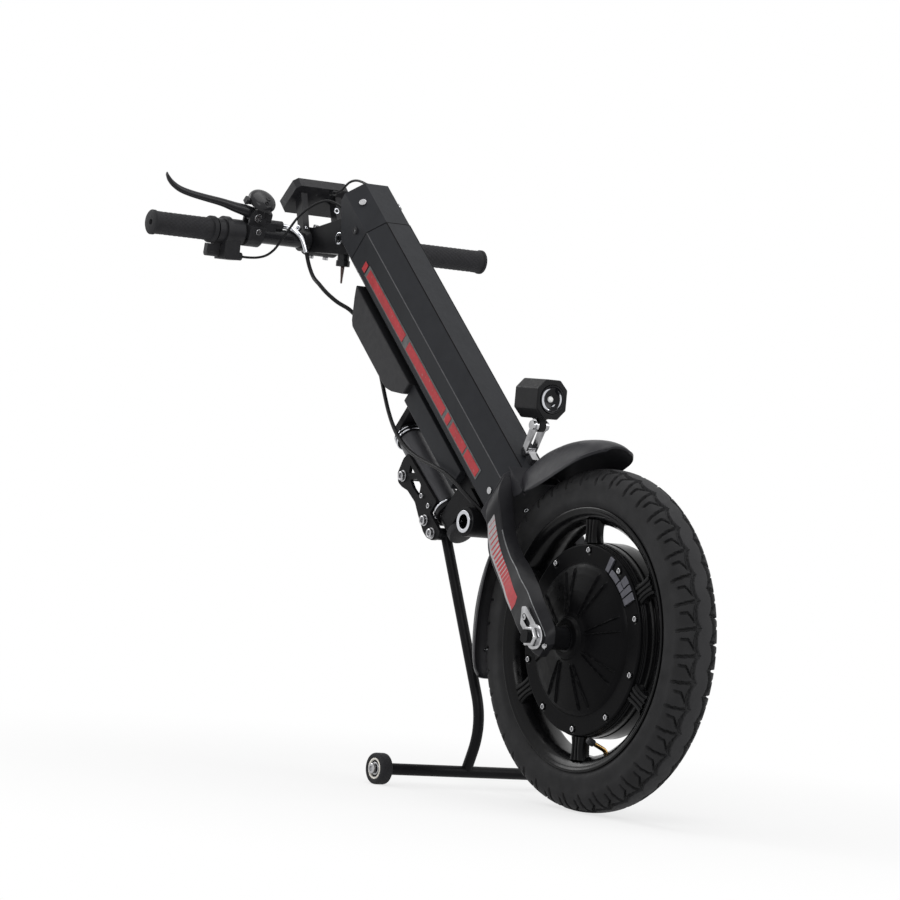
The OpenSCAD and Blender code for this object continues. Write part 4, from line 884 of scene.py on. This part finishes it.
class DRIVE_OT_mudguards(bpy.types.Operator):
    """Mudguards as thin arched shells; the front one starts as an apron, with cheeks and a tab"""

    bl_idname = "drive.mudguards"
    bl_label = "Mudguards"

    def execute(self, context):
        # stations: angle from level at the front, crest's radius, edge's radius and half width
        level = 90 - LEAN_DEGREES
        first, last = (level + math.degrees(math.asin(v)) for v in (47.4 / 248, -47.2 / 240))
        front = [
            [first + 8, 260, 211.5, 41.5], [68, 256, 210, 42.3], [75, 252.5, 213, 42.8],
            [81, 249.5, 218.5, 42], [85, 247.5, 223.5, 39.5], [88, 245, 228.5, 34],
            [90, 242.5, 233, 26], [91, 240.5, 236, 17],
        ]
        rear = [
            [-17, 238, 216, 30], [-14, 241, 211, 38], [-6, 244, 208, 40], [6, 245, 207, 40],
            [18, 242, 209, 39.5], [last, 235, 213, 39],
        ]
        across = np.sin(np.linspace(-1, 1, 41) * math.pi / 2)
        arch = 1 - np.abs(across) ** 2.4
        # the edge rolls out by a millimetre over its last part
        roll = step_up(np.abs(across), 0.93, 1.0)

        def shell(rows):
            """Outer and inner surface through the stations."""
            angle, crest, edge, half = (v[:, None] for v in np.array(rows).T)
            a, r = np.radians(angle), edge + (crest - edge) * arch
            return [grid(half * across, q * np.cos(a), AXLE_Z + q * np.sin(a)) for q in (r + roll, r - 2.6)]

        def closed(surfaces):
            """Skin round an outer and an inner surface."""
            outside, inside = (smooth_line(v, 10) for v in surfaces)
            return loft(np.concatenate([outside, inside[:, ::-1]], 1))

        apron = [from_column(grid(41.3 * across, y, 211 + 45 * arch))[None] for y in (-48.4, -46.4)]
        cheek = fillet([[-48.4, 211], [-41, 213.4], [-30, 219.5], [-35.5, 233], [-48.4, 251]], 2.0, 4)
        cheeks = [np.stack([sheet_at(x, cheek) for x in pair]) for pair in ((-43, -41.2), (41.2, 43))]
        low, high = 206 + 44 * arch, 258.0
        tab = np.stack([
            grid(40.5 * across, y, z) for y, z in ((-46.3, low), (-46.3, high), (-44.9, high), (-44.9, low))
        ], 1)
        fixings = [loft(from_column(v)) for v in (*cheeks, tab)]
        surfaces = [np.concatenate(pair) for pair in zip(apron, shell(front))]
        for name, shape in (
            ("mudguard_front", joined(closed(surfaces), *fixings)), ("mudguard_rear", closed(shell(rear)))
        ):
            piece(name + "_shell", shape, "guard_black", name, sharp=45)
        return {"FINISHED"}


class DRIVE_OT_brake_lever(bpy.types.Operator):
    """Brake lever blade as an oval loft with a hub round its pivot"""

    bl_idname = "drive.brake_lever"
    bl_label = "Brake lever"

    def execute(self, context):
        # stations: outwards from the perch, height and half depth
        stations = [
            [2, 27, 9.4], [-14, 31, 8.6], [-34, 34.4, 7.2], [-56, 38.6, 5.8], [-82, 41.8, 5.2],
            [-106, 45.2, 4.9], [-124, 49.4, 4.7], [-137, 55.6, 4.6], [-145, 62, 4.4], [-149, 67, 3.4],
        ]
        x, z, half = (v[:, None] for v in smooth_line(stations, 8).T)
        a = around(28).T
        # the blade is thinner where it lies between the perch's cheeks
        thin = np.where(x > -11.5, np.minimum(0.8 * half, 5.5), 0.8 * half)
        blade = from_perch(grid(PERCH_X + x, thin * np.cos(a), z - 0.95 * half * np.sin(a)))
        hub = placed(turned(collar(3, 10.5, -5.5, 5.5, 0.8), 48), [PERCH_X, 0, 25], [0, 1, 0], ACROSS)
        shape = joined(loft(blade), skin(from_perch(hub), True, True))
        piece("brake_lever_blade", shape, "gloss_black", "brake_lever", sharp=50)
        return {"FINISHED"}


class DRIVE_OT_grips(bpy.types.Operator):
    """Rubber grips with a fine diamond pattern, a flange inside and a rounded end"""

    bl_idname = "drive.grips"
    bl_label = "Grips"

    def execute(self, context):
        deep = context.scene.drive_sizes.grip_pattern / MM
        bore, radius, count = 11.15, 15.5, 120
        a = around(count)
        # the end: radius, and distance from the grip's length
        end = np.array([[16.7, -4.6], [16.7, -1.2], [15, 0], [4, 0], [3.6, -3], [0, -3]])
        for side, name, long in ((1, "grip_left", 128.0), (-1, "grip_right", 98.0)):
            x = np.linspace(0, long - 5, int(long * 1.6))
            body = groove(x - long / 2, long / 2 - 14, 2.0)
            diamond = np.abs(np.sin(9 * a + x * 0.42)) * np.abs(np.sin(9 * a - x * 0.42))
            r = radius + 2.8 * groove(x - 3.5, 3.0, 0.7) - deep * body * (1 - diamond) * 1.4
            r = np.hstack([np.full((count, 1), bore), r, np.broadcast_to(end[:, 0], (count, len(end)))])
            x = side * (BAR_HALF - long + np.concatenate([[0], x, long + end[:, 1]]))
            shape = skin(grid(x, BAR_Y + r * np.cos(a), BAR_Z + r * np.sin(a)), close_u=True)
            piece(name + "_rubber", shape, "rubber_black", "grips", sharp=50)
        return {"FINISHED"}


class DRIVE_OT_axle_hardware(bpy.types.Operator):
    """Torque washers with a pointed top and a slot, flanged nuts, pins, and spacers beside the hub"""

    bl_idname = "drive.axle_hardware"
    bl_label = "Axle hardware"

    def execute(self, context):
        turn = around(72)[:, 0]
        # the washer's outline and slot as points at equal angles about the slot's middle
        middle = 26
        corners = [[-11.5, -8], [-11.5, 41], [-5, 47], [11.5, 33], [11.5, -8], [6, -13], [-6, -13]]
        outline = fillet(corners, 1.5)
        step = np.roll(outline, -1, 0) - outline
        shares = np.linspace(0, 1, 12, endpoint=False)
        edge = np.concatenate([outline + step * t for t in shares]) - [0, middle]
        reach = np.interp(turn, np.arctan2(edge[:, 1], edge[:, 0]), np.hypot(*edge.T), period=TURN)
        plate = np.column_stack([reach * np.cos(turn), middle + reach * np.sin(turn)])
        tall = 28 + 4.2 * np.sin(turn) + 6 * np.clip(3 * np.sin(turn), -1, 1)
        slot = np.column_stack([4.2 * np.cos(turn), tall])
        hexagon = fillet(circle(13.4, 6), 1.2)
        flange = [[8.6, 97.6], [15.4, 97.6], [16, 98.2], [15.6, 99.6], [13, 100.2], [8.6, 100.2]]
        pin = [[0, 95], [3.4, 95], [3.4, 98.2], [2.6, 98.8], [1.6, 98.8], [1.4, 97.6], [0, 97.6]]
        bolt = [[0, -1], [3.3, -1], [3.3, 1.2], [2.9, 1.7], [1.8, 1.7], [1.6, 0.7], [0, 0.7]]
        parts, spacers, pins = [], [], []
        for side, start, r in ((-1, 53.3, 14.5), (1, 40.4, 12.5)):
            out = [side, 0, 0]
            ring = [sheet_at(side * x, p) for p, x in (
                (plate, 95.05), (plate * [0.99, 1], 97.55), (slot, 97.55), (slot, 95.05)
            )]
            parts.append(skin(from_column(np.stack(ring, 1)), True, True))
            parts.append(lathe(flange, 48, AXLE, out, ring=True))
            nut = np.stack([sheet_at(side * x, hexagon * k) for k, x in (
                (1.0, 100), (1.0, 107.2), (0.97, 108), (0.9, 108.6), (0.66, 108.6)
            )])
            parts.append(loft(nut + AXLE))
            pins.append(skin(from_column(placed(turned(pin, 24), [0, 0, 33], out, UP)), True))
            square = from_column([side, -1, 0]) - from_column([0, 0, 0])
            pins.append(lathe(bolt, 24, from_column([side * 95, -4.5, -20.8]), square))
            spacers.append(lathe(collar(8.6, r, start, 83.9, 1.0), 48, AXLE, out, ring=True))
        for name, shapes, finish, slot_name in (
            ("torque_washers_nuts", parts, "bracket_chrome", "steel"),
            ("torque_washer_pins", pins, "steel", "steel"),
            # the spacers' near black is painted shade between hub and fork
            ("axle_spacer_sleeves", spacers, "dark_steel_and_shade", "steel_black"),
        ):
            piece(name, joined(*shapes), finish, "axle_hardware")
        return {"FINISHED"}


class DRIVE_OT_small_fittings(bpy.types.Operator):
    """Screw heads of dock, motor cover and disc, and small fittings of stem, display, bell and crown"""

    bl_idname = "drive.small_fittings"
    bl_label = "Small fittings"

    def execute(self, context):
        bolts = []
        for side in (-1, 1):
            out = [side, 0, 0]
            for place in ((143, 438), (146, 358), PIVOT):
                bolts.append(washer(from_column([side * (PLATE_OUT + 0.05), *place]), out, 7.5, 3, 1.6))
                bolts.append(screw(from_column([side * (PLATE_OUT + 1.55), *place]), out, 6.3, 4.6))
            for place in ((129.7, 387), (127.5, 366)):
                bolts.append(screw(from_column([side * (PLATE_OUT + 0.05), *place]), out, 3.6, 2.6))
        piece("dock_bolt_heads", joined(*bolts), "steel", "dock_bolts", sharp=30)
        cover = from_wheel(COVER_SCREW_R, around(COVER_SCREWS)[:, 0], -26.2)
        disc = from_wheel(22.0, math.pi - around(6)[:, 0], 42.4)
        heads = [screw(p, [-1, 0, 0], 3.7, 3.2) for p in cover]
        heads += [screw(p, [1, 0, 0], 4.2, 3.2) for p in disc]
        piece("wheel_screw_heads", joined(*heads), "steel", "wheel_screws", sharp=30)
        right, front, stem_side = [-1, 0, 0], [0, -0.96, 0.27], np.array([-21.6, 630.1, 699.3])
        bright = [
            screw([-32.6, 716.6, 711.5], right, 4.2, 2.6), screw([-28.6, 706.3, 712], front, 2.2, 1.6),
            washer([23.5, 714.2, 740.8], front, 4, 2.4, 1.2), washer(stem_side, right, 8.5, 6.3, 2.0),
            washer([2.1, 179.6, 362.3], [0, -0.79, -0.61], 3, 1.9, 1.0),
            screw([1.8, 238.2, 178.5], [-0.13, -0.96, 0.26], 2.2, 1.4),
        ]
        stem_bolt = screw(stem_side - [0.3, 0, 0], right, 5.6, 2.4)
        bell_screw = screw([-108.5, 684.2, 736.9], [-0.02, -0.96, 0.28], 2.8, 1.6)
        for name, shape, finish, slot in (
            ("bright_fittings", joined(*bright), "chrome", "chrome"),
            ("stem_bolt_dark", stem_bolt, "dark_steel_and_shade", "steel_black"),
            ("bell_screw", bell_screw, "dark_steel_and_shade", "steel_black"),
        ):
            piece(name, shape, finish, "column_tube", replaces=False, sharp=30)
        return {"FINISHED"}


class DRIVE_OT_bell(bpy.types.Operator):
    """Bell: smooth low dome with a rolled rim, its middle cap and the pin below"""

    bl_idname = "drive.bell"
    bl_label = "Bell"

    def execute(self, context):
        c, s = math.cos(math.radians(30)), math.sin(math.radians(30))
        dome = smooth_line([
            [19.6, 0.3], [20, 1.2], [19.9, 2.6], [19, 5.4], [16.6, 8.2], [12.5, 10.2], [7, 11.3], [0, 11.7]
        ], 4)
        dome = np.concatenate([[[0, 0], [19, 0]], dome])
        cap = [[0, 9.5], [3.9, 9.5], [3.9, 12], [3.4, 12.5], [1.8, 12.5], [1.6, 11.9], [0, 11.9]]
        pin = [[0, -9], [5.2, -9], [5.5, -8.6], [5.5, -4.7], [5.2, -4.4], [3.5, -4.4], [3.5, 1], [0, 1]]
        shapes = []
        for profile, count, off in ((dome, 72, (0, 0, 0)), (cap, 32, (4, -4, 0)), (pin, 32, (13, 0, 0))):
            x, y, z = np.moveaxis(turned(profile, count) + off, -1, 0)
            shapes.append(skin(from_perch(grid(PERCH_X + 6 + x, y * c - z * s, 45 + y * s + z * c)), True))
        piece("bell_smooth_dome", joined(*shapes), "gloss_black", "bell_dome", sharp=45)
        return {"FINISHED"}


class DRIVE_OT_key(bpy.types.Operator):
    """Ignition key: round plug in the switch and a bow that thins downwards"""

    bl_idname = "drive.key"
    bl_label = "Ignition key"

    def execute(self, context):
        place = [-13, 630, 0]
        # stations: height, thickness and width
        stations = [
            [664, 5.6, 8], [659, 5.2, 11], [652, 4.2, 12], [646, 3.2, 11], [641, 2.8, 8], [639.2, 2.2, 5]
        ]
        z, thick, wide = (v[:, None] for v in smooth_line(stations, 5).T)
        a = around(24).T
        x, y = thick / 2 * signed_power(np.cos(a), 0.6), wide / 2 * signed_power(np.sin(a), 0.6)
        c, s = math.cos(math.radians(-35)), math.sin(math.radians(-35))
        bow = grid(x * c - y * s, x * s + y * c, z)
        plug = turned([[0, 663], [4.6, 663], [5, 663.4], [5, 674], [0, 674]], 32)
        shape = joined(loft(bow + place), skin(plug + place, True))
        piece("key_with_bow", shape, "key_brown", "ignition_key", sharp=45)
        return {"FINISHED"}


class DRIVE_OT_dock(bpy.types.Operator):
    """Dock: side plates with two openings, bright rings at the steering head and the column's rail"""

    bl_idname = "drive.dock"
    bl_label = "Dock and rail"

    def execute(self, context):
        outline = fillet([
            [116, 453], [128, 456], [150, 451], [157, 441], [155, 430], [149, 417], [147, 393], [153, 374],
            [159, 350], [158, 338], [152, 327], [142, 320], [132, 322], [132, 358], [112, 358],
        ], 2.5, 4)
        upper = fillet([[122.5, 438.5], [122.5, 422.5], [132, 432]], 2.0, 4)
        lower = fillet([[135.5, 423.5], [123, 411.5], [122.5, 400.5], [135.5, 392.5], [138, 410]], 3.0, 4)
        loops = [outline, upper, lower]
        flat = np.concatenate(loops)
        count = len(flat)
        sheet = np.array(tessellate_polygon([[Vector((y, z, 0)) for y, z in loop] for loop in loops]))
        starts = np.cumsum([0] + [len(loop) for loop in loops])
        this = np.arange(count)
        after = np.concatenate([np.roll(np.arange(a, b), -1) for a, b in zip(starts[:-1], starts[1:])])
        walls = np.stack([this, after, after + count, this + count], -1)
        faces = sheet.tolist() + (sheet[:, ::-1] + count).tolist() + walls.tolist()
        plates = []
        for side in (-1, 1):
            layers = [sheet_at(side * x, flat) for x in (PLATE_IN, PLATE_OUT)]
            plates.append((from_column(np.concatenate(layers)), faces))
        shape = joined(*plates)
        piece("dock_plates_open", shape, "frame_black", "dock_plates", sharp=30, bevel=0.5)
        rings = []
        for low, high in ((486.2, 488.4), (491.6, 493.2), (352.6, 355.4)):
            ring = turned(collar(17, 20.7, low, high, 0.6, 3), 64) + [0, HEAD_Y, 0]
            rings.append(skin(from_column(ring), True, True))
        piece("headset_rings", joined(*rings), "chrome", "headset_cups", replaces=False)
        rail = fillet([[-26, 45.1], [26, 45.1], [26, 74], [24, 76], [-24, 76], [-26, 74]], 1.6, 4)
        shape = loft(from_column(np.stack([slice_at(z, rail) for z in (345, 509)])))
        piece("rear_rail", shape, "column_black", "rear_spine", sharp=30)
        return {"FINISHED"}


class DRIVE_OT_column_edges(bpy.types.Operator):
    """Column: painted edge highlights, dark plate joints, the seam under the cap and the spindle nut's cap
    """

    bl_idname = "drive.column_edges"
    bl_label = "Column edges"

    def execute(self, context):
        def beads(x, y):
            """Thin round beads along the column on both sides, at a place across and behind it."""
            z = np.linspace(260, 730, 48)
            return joined(*(tube(from_column(grid(side * x, y, z)), 0.8, 8) for side in (-1, 1)))

        # half width, half depth and bevel of the column's section, with the seam's small standing out
        w, d, b = 40.16, 45.16, 21.5
        section = np.array([
            [b - w, -d], [w - b, -d], [w, b - d], [w, d - b],
            [w - b, d], [b - w, d], [-w, d - b], [-w, b - d],
        ])
        rows = [slice_at(z, section * k) for k, z in ((1, 730.1), (1, 731.3), (0.98, 731.3), (0.98, 730.1))]
        seam = skin(from_column(np.stack(rows)), True, True)
        head = [[0, 0], [4.9, 0], [4.9, 2.2], [4.3, 2.9], [2.5, 2.9], [2.3, 1.6], [0, 1.6]]
        heads = [
            lathe(head, 32, from_column([side * 40.05, -8.6, 751.6]), [side, 0, 0]) for side in (-1, 1)
        ]
        nut = [[0, 307.4], [14, 307.4], [17, 308.4], [17.7, 310.4], [17.7, 316.9], [0, 316.9]]
        nut_cap = skin(from_column(turned(nut, 40) + [0, HEAD_Y, 0]), True)
        for name, shape, finish, slot, sharp in (
            # the pale beads are painted highlights on the edges between bevels and sides
            ("column_edge_highlights", beads(39.4, -23.2), "column_edge_highlight", "steel", 60),
            ("column_joints_dark", beads(18.6, -44.6), "cover_black", "frame_black", 60),
            ("cap_seam", seam, "cover_black", "frame_black", 30),
            ("cap_side_screws", joined(*heads), "moulded_black", "plastic_black", 35),
            ("spindle_nut_cap", nut_cap, "moulded_black", "plastic_black", 40),
        ):
            piece(name, shape, finish, "column_tube", replaces=False, sharp=sharp)
        return {"FINISHED"}


class DRIVE_OT_valve(bpy.types.Operator):
    """Bent brass valve stem out of the rim and its ribbed black cap"""

    bl_idname = "drive.valve"
    bl_label = "Tyre valve"

    def execute(self, context):
        place = math.radians(195)
        line = smooth_line([[149, 0], [141, 0], [137, -2], [134, -7], [128, -20]], 8)
        path = round_axle(line, place)
        shape = joined(tube(path, 2.9, 20), tube(path[2:8], 3.6, 20))
        piece("valve_stem", shape, "brass", "valve", sharp=40)
        a = around(72)
        h = np.array([0, 0.6, 2, 6, 9, 10.2, 10.6, 10.6])
        ribs = 1 + 0.05 * np.cos(12 * a) * ((h > 1) & (h < 9))
        r = np.array([3.6, 4.3, 4.5, 4.5, 4.3, 3.4, 2.0, 0]) * ribs
        start, end = round_axle([[129.2, -17.8], [124.5, -26.6]], place)
        cap = placed(grid(r * np.cos(a), r * np.sin(a), h), start, end - start, [0, 1, 0])
        piece("valve_cap", skin(cap, True), "moulded_black", "valve", sharp=50)
        return {"FINISHED"}


class DRIVE_OT_stand(bpy.types.Operator):
    """Parking stand: a bent leg, the cross bar with its pins, and rollers with a pale ring and a hub"""

    bl_idname = "drive.stand"
    bl_label = "Parking stand"

    def execute(self, context):
        eye, knee, foot = from_column([0, *PIVOT]), np.array([0, 228.5, 84]), np.array([0, 255.0, 20])
        bar_half, bend = 125, 40
        t = np.linspace(0, 1, 17)[:, None]
        above, below = (knee + bend * unit(end - knee) for end in (eye, foot))
        curve = (1 - t) ** 2 * above + 2 * t * (1 - t) * knee + t**2 * below
        bar = collar(0, 7.5, -bar_half, bar_half, 1.0)[5:-5]
        frame_parts = [
            tube(np.concatenate([[eye], curve, [foot]]), 7, 28), lathe(bar, 32, foot, ACROSS),
            lathe(collar(4.1, 8, -13, 13, 0.8), 32, eye, ACROSS, ring=True),
        ]
        pin = [[0, 120], [4, 120], [4, 143.2], [0, 143.2]]
        head = [
            [0, 143.2], [6.3, 143.2], [6.5, 143.6], [6.5, 146.2],
            [5.6, 147], [3.2, 147], [3, 145.4], [0, 145.4],
        ]
        tread = [
            [13.4, 0.6], [17.6, 0], [19.4, 0.9], [20, 3], [20, 14],
            [19.4, 16.1], [17.6, 17], [14.6, 17], [13.4, 16],
        ]
        ring = [[10.9, 0.8], [13.5, 0.8], [13.5, 16], [12.9, 16.7], [11.4, 16.7], [10.9, 16]]
        seal = [[8.4, 1], [11, 1], [11, 14.4], [8.4, 14.4]]
        hub = [[4.1, 0.5], [8.5, 0.5], [8.5, 15], [7.8, 16], [4.1, 16]]
        heads = []
        for side, name in ((-1, "roller_right"), (1, "roller_left")):
            out = [side, 0, 0]
            frame_parts.append(lathe(pin, 32, foot, out))
            heads.append(lathe(head, 32, foot, out))
            start = foot + [side * (bar_half + 0.6), 0, 0]
            for part, finish, slot, profile in (
                ("tread", "rubber_black", "rubber", tread), ("ring", "roller_cream", "rubber", ring),
                ("seal", "rubber_black", "rubber", seal), ("hub", "steel", "steel", hub),
            ):
                shape = lathe(fillet(profile, 0.8, 4), 48, start, out, ring=True)
                piece(name + "_" + part, shape, finish, name, sharp=40)
        shape = joined(*heads)
        piece("roller_bolt_heads", shape, "steel", "stand_frame", replaces=False, sharp=40)
        shape = joined(*frame_parts)
        piece("stand_bent_frame", shape, "frame_black", "stand_frame", sharp=40)
        return {"FINISHED"}


class DRIVE_OT_lamp(bpy.types.Operator):
    """Lamp front: dark glass bowl, bright LED and the polished parts of the reflector"""

    bl_idname = "drive.lamp"
    bl_label = "Lamp front"

    def execute(self, context):
        def ahead(p):
            """Points with z forward from the middle of the lamp's front."""
            return placed(p, [0, 151, 504], [0, -1, 0], ACROSS)

        glass = [
            [0, 0], [17.9, 0], [17.9, 9.2], [17.2, 9.6], [16.2, 9.3], [15.2, 7.5],
            [10, 5.2], [5.5, 4.6], [0, 4.4],
        ]
        shape = skin(ahead(turned(glass, 64)), True)
        piece("lamp_glass_bowl", shape, "lens_dark", "lamp_lens", sharp=40)
        led = [[0, 4.2], [4.1, 4.2], [4.0, 5.2], [3.4, 6.3], [1.9, 7.2], [0, 7.5]]
        shape = skin(ahead(turned(led, 40)), True)
        piece("lamp_led", shape, "led_white", "lamp_lens", replaces=False, sharp=50)
        # crescents on the bowl: first and last angle, middle radius and half width
        arcs = []
        taper = np.sin(np.linspace(0.02, 0.98, 40) * math.pi)[:, None]
        for first, last, middle, wide in (
            (104, 266, 13.4, 2.8), (-46, 58, 14.3, 1.0), (-74, -36, 9.2, 0.8)
        ):
            a = np.radians(np.linspace(first, last, 40))[:, None]
            r = middle + wide * taper * np.array([-1, 1, 1, -1])
            h = 5.2 + (r - 10) * 0.442 + np.array([0.5, 0.5, -0.4, -0.4])
            arcs.append(loft(ahead(grid(r * np.cos(a), r * np.sin(a), h))))
        piece("lamp_reflector", joined(*arcs), "chrome", "lamp_lens", replaces=False, sharp=40)
        return {"FINISHED"}


class DRIVE_OT_painted(bpy.types.Operator):
    """Painted, anodised and cast pieces: the solids with rounded edges"""

    bl_idname = "drive.painted"
    bl_label = "Painted pieces"

    def execute(self, context):
        for solid, finish, bevel in (
            ("fork_crown", "crown_black", 1.5), ("column_tube", "column_black", 1.0),
            ("column_cap", "column_black", 1.0), ("upper_lug", "frame_black", 1.0),
            ("lower_lug", "frame_black", 1.0), ("head_tube", "head_grey", 0.6),
            ("dock_spacers", "frame_black", 0.5), ("stem", "frame_black", 1.2),
            ("handlebar", "gloss_black", 0.5), ("brake_calliper", "frame_black", 1.0),
        ):
            softened(solid, finish, bevel)
        return {"FINISHED"}


class DRIVE_OT_moulded(bpy.types.Operator):
    """Moulded pieces: the solids with rounded edges"""

    bl_idname = "drive.moulded"
    bl_label = "Moulded pieces"

    def execute(self, context):
        for solid, finish, slot, bevel in (
            ("controller_box", "moulded_black", "plastic_black", 2.0),
            ("throttle_housing", "moulded_black", "plastic_black", 3.0),
            ("throttle_paddle", "moulded_black", "plastic_black", 2.2),
            ("brake_perch", "moulded_black", "plastic_black", 2.0),
            ("bell_striker", "moulded_black", "plastic_black", 0.5),
            ("display_case", "gloss_black", "plastic_black", 2.5),
            ("key_switch", "gloss_black", "plastic_black", 0.6),
            ("lamp_housing", "lamp_black", "plastic_black", 1.6),
            ("button_left", "button_grey", "button_grey", 0.6),
            ("button_right", "button_grey", "button_grey", 0.6),
            ("display_glass", "screen", "screen", 0.3), ("strip_bases", "strip_grey", "strip_grey", 0.1),
            ("strip_reds", "strip_red", "strip_red", 0.1),
        ):
            softened(solid, finish, bevel)
        return {"FINISHED"}


class DRIVE_OT_metal(bpy.types.Operator):
    """Bright and inner metal pieces: the solids with rounded edges"""

    bl_idname = "drive.metal"
    bl_label = "Metal pieces"

    def execute(self, context):
        for solid, finish, slot, bevel in (
            # the axle's near black is painted shade between fork and motor
            ("column_screws", "steel", "steel", 0.5), ("axle", "dark_steel_and_shade", "steel_black", 0.6),
            ("bar_hardware", "steel", "steel", 0.5), ("steer_spindle", "steel", "steel", 0.5),
            ("hub_bearings", "dark_steel_and_shade", "steel_black", 0.4), ("headset_bearings", "steel", "steel", 0.4),
            ("headset_cups", "dark_steel_and_shade", "steel_black", 0.8), ("cross_bushes", "chrome", "chrome", 0.6),
            ("lamp_bracket", "bracket_chrome", "chrome", 0.8), ("brake_disc", "steel", "steel", 0.3),
            ("magnet_ring", "magnet_grey", "magnet", 0.3), ("stator", "copper", "stator", 0.3),
            ("battery_pack", "battery_blue", "battery", 0.8),
        ):
            softened(solid, finish, bevel)
        return {"FINISHED"}


# studio


def seen_rays(tree):
    """1 for rays from the camera, off shiny surfaces and through glass, and 0 for the rest."""
    ray = shader_node(tree, "LightPath").outputs
    direct = compute(tree, "ADD", ray["Is Camera Ray"], ray["Is Glossy Ray"], clamp=True)
    return compute(tree, "ADD", direct, ray["Is Transmission Ray"], clamp=True)


def white_surround(scene):
    """World that looks white and lights the drive at less than half of that."""
    world = bpy.data.worlds.new("studio_surround")
    scene.world = world
    world.use_nodes = True
    tree = world.node_tree
    strength = spread(tree, seen_rays(tree), 0.45, 1.0, 0.0, 1.0)
    feed(tree, tree.nodes["Background"], {"Color": (1, 1, 1, 1), "Strength": strength})


def floor_white():
    """Floor finish: its own white with some shading near the drive, and only its own white further away."""
    m = bpy.data.materials.new("floor_white")
    m.use_nodes = True
    tree = m.node_tree
    tree.nodes.remove(tree.nodes["Principled BSDF"])
    matte = shader_node(tree, "BsdfDiffuse", {"Color": (0.86, 0.86, 0.86, 1)})
    glow = shader_node(tree, "Emission")
    place = shader_node(tree, "TexCoord").outputs["Object"]
    centre = (0, 0.2, 0)
    away = shader_node(tree, "VectorMath", {0: place, 1: centre}, operation="DISTANCE").outputs["Value"]
    own = spread(tree, away, 0.72, 1.0, 0.3, 1.1, interpolation_type="SMOOTHSTEP")
    share = compute(tree, "MULTIPLY", seen_rays(tree), own)
    mix = shader_node(tree, "MixShader", {"Fac": share, 1: matte.outputs[0], 2: glow.outputs[0]})
    tree.links.new(mix.outputs[0], tree.nodes["Material Output"].inputs["Surface"])
    return m


class DRIVE_OT_stage(bpy.types.Operator):
    """Pale floor, white surround and soft studio lamps"""

    bl_idname = "drive.stage"
    bl_label = "Stage"

    def execute(self, context):
        scene = context.scene
        scene.view_settings.view_transform = "Standard"
        white_surround(scene)
        mesh = bpy.data.meshes.new("studio_floor")
        mesh.from_pydata([(-6, -6, 0), (6, -6, 0), (6, 6, 0), (-6, 6, 0)], [], [(0, 1, 2, 3)])
        mesh.materials.append(floor_white())
        floor = bpy.data.objects.new("studio_floor", mesh)
        scene.collection.objects.link(floor)
        aim = Vector((0, 0.28, 0.42))
        for name, place, size, power in (
            ("lamp_left_front", (-1.6, -1.8, 1.9), 1.2, 22.0),
            ("lamp_right_front", (1.9, -1.6, 1.5), 1.2, 13.0),
            ("lamp_top", (0.1, 0.3, 2.4), 1.6, 18.0),
            ("lamp_rear", (-0.9, 2.2, 1.6), 1.2, 16.0),
        ):
            data = bpy.data.lights.new(name, "AREA")
            data.energy, data.size = power, size
            obj = bpy.data.objects.new(name, data)
            obj.location = place
            obj.rotation_mode = "QUATERNION"
            obj.rotation_quaternion = (aim - Vector(place)).to_track_quat("-Z", "Y")
            scene.collection.objects.link(obj)
        return {"FINISHED"}


operators = (
    DRIVE_OT_camera, DRIVE_OT_finishes, DRIVE_OT_cables, DRIVE_OT_tyre, DRIVE_OT_wheel,
    DRIVE_OT_motor_cover, DRIVE_OT_fork, DRIVE_OT_mudguards, DRIVE_OT_brake_lever, DRIVE_OT_grips,
    DRIVE_OT_axle_hardware, DRIVE_OT_small_fittings, DRIVE_OT_bell, DRIVE_OT_key, DRIVE_OT_dock,
    DRIVE_OT_column_edges, DRIVE_OT_valve, DRIVE_OT_stand, DRIVE_OT_lamp, DRIVE_OT_painted,
    DRIVE_OT_moulded, DRIVE_OT_metal, DRIVE_OT_stage,
)


class DRIVE_PT_panel(bpy.types.Panel):
    """Sidebar list of the drive's sizes, colours and pieces"""

    bl_idname = "DRIVE_PT_panel"
    bl_label = "Front drive"
    bl_space_type = "VIEW_3D"
    bl_region_type = "UI"
    bl_category = "Front drive"

    def draw(self, context):
        for group in (context.scene.drive_sizes, context.scene.drive_colours):
            for key in group.__annotations__:
                self.layout.prop(group, key)
        for op in operators:
            self.layout.operator(op.bl_idname)


classes = (DriveColours, DriveSizes) + operators + (DRIVE_PT_panel,)


def register():
    """Adds the classes and the scene's sizes and colours."""
    for c in classes:
        bpy.utils.register_class(c)
    bpy.types.Scene.drive_colours = PointerProperty(type=DriveColours)
    bpy.types.Scene.drive_sizes = PointerProperty(type=DriveSizes)


def unregister():
    """Takes them away again."""
    del bpy.types.Scene.drive_sizes
    del bpy.types.Scene.drive_colours
    for c in reversed(classes):
        bpy.utils.unregister_class(c)


def main():
    """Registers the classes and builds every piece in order."""
    register()
    for op in operators:
        group, name = op.bl_idname.split(".")
        getattr(getattr(bpy.ops, group), name)()


if __name__ == "__main__":
    main()
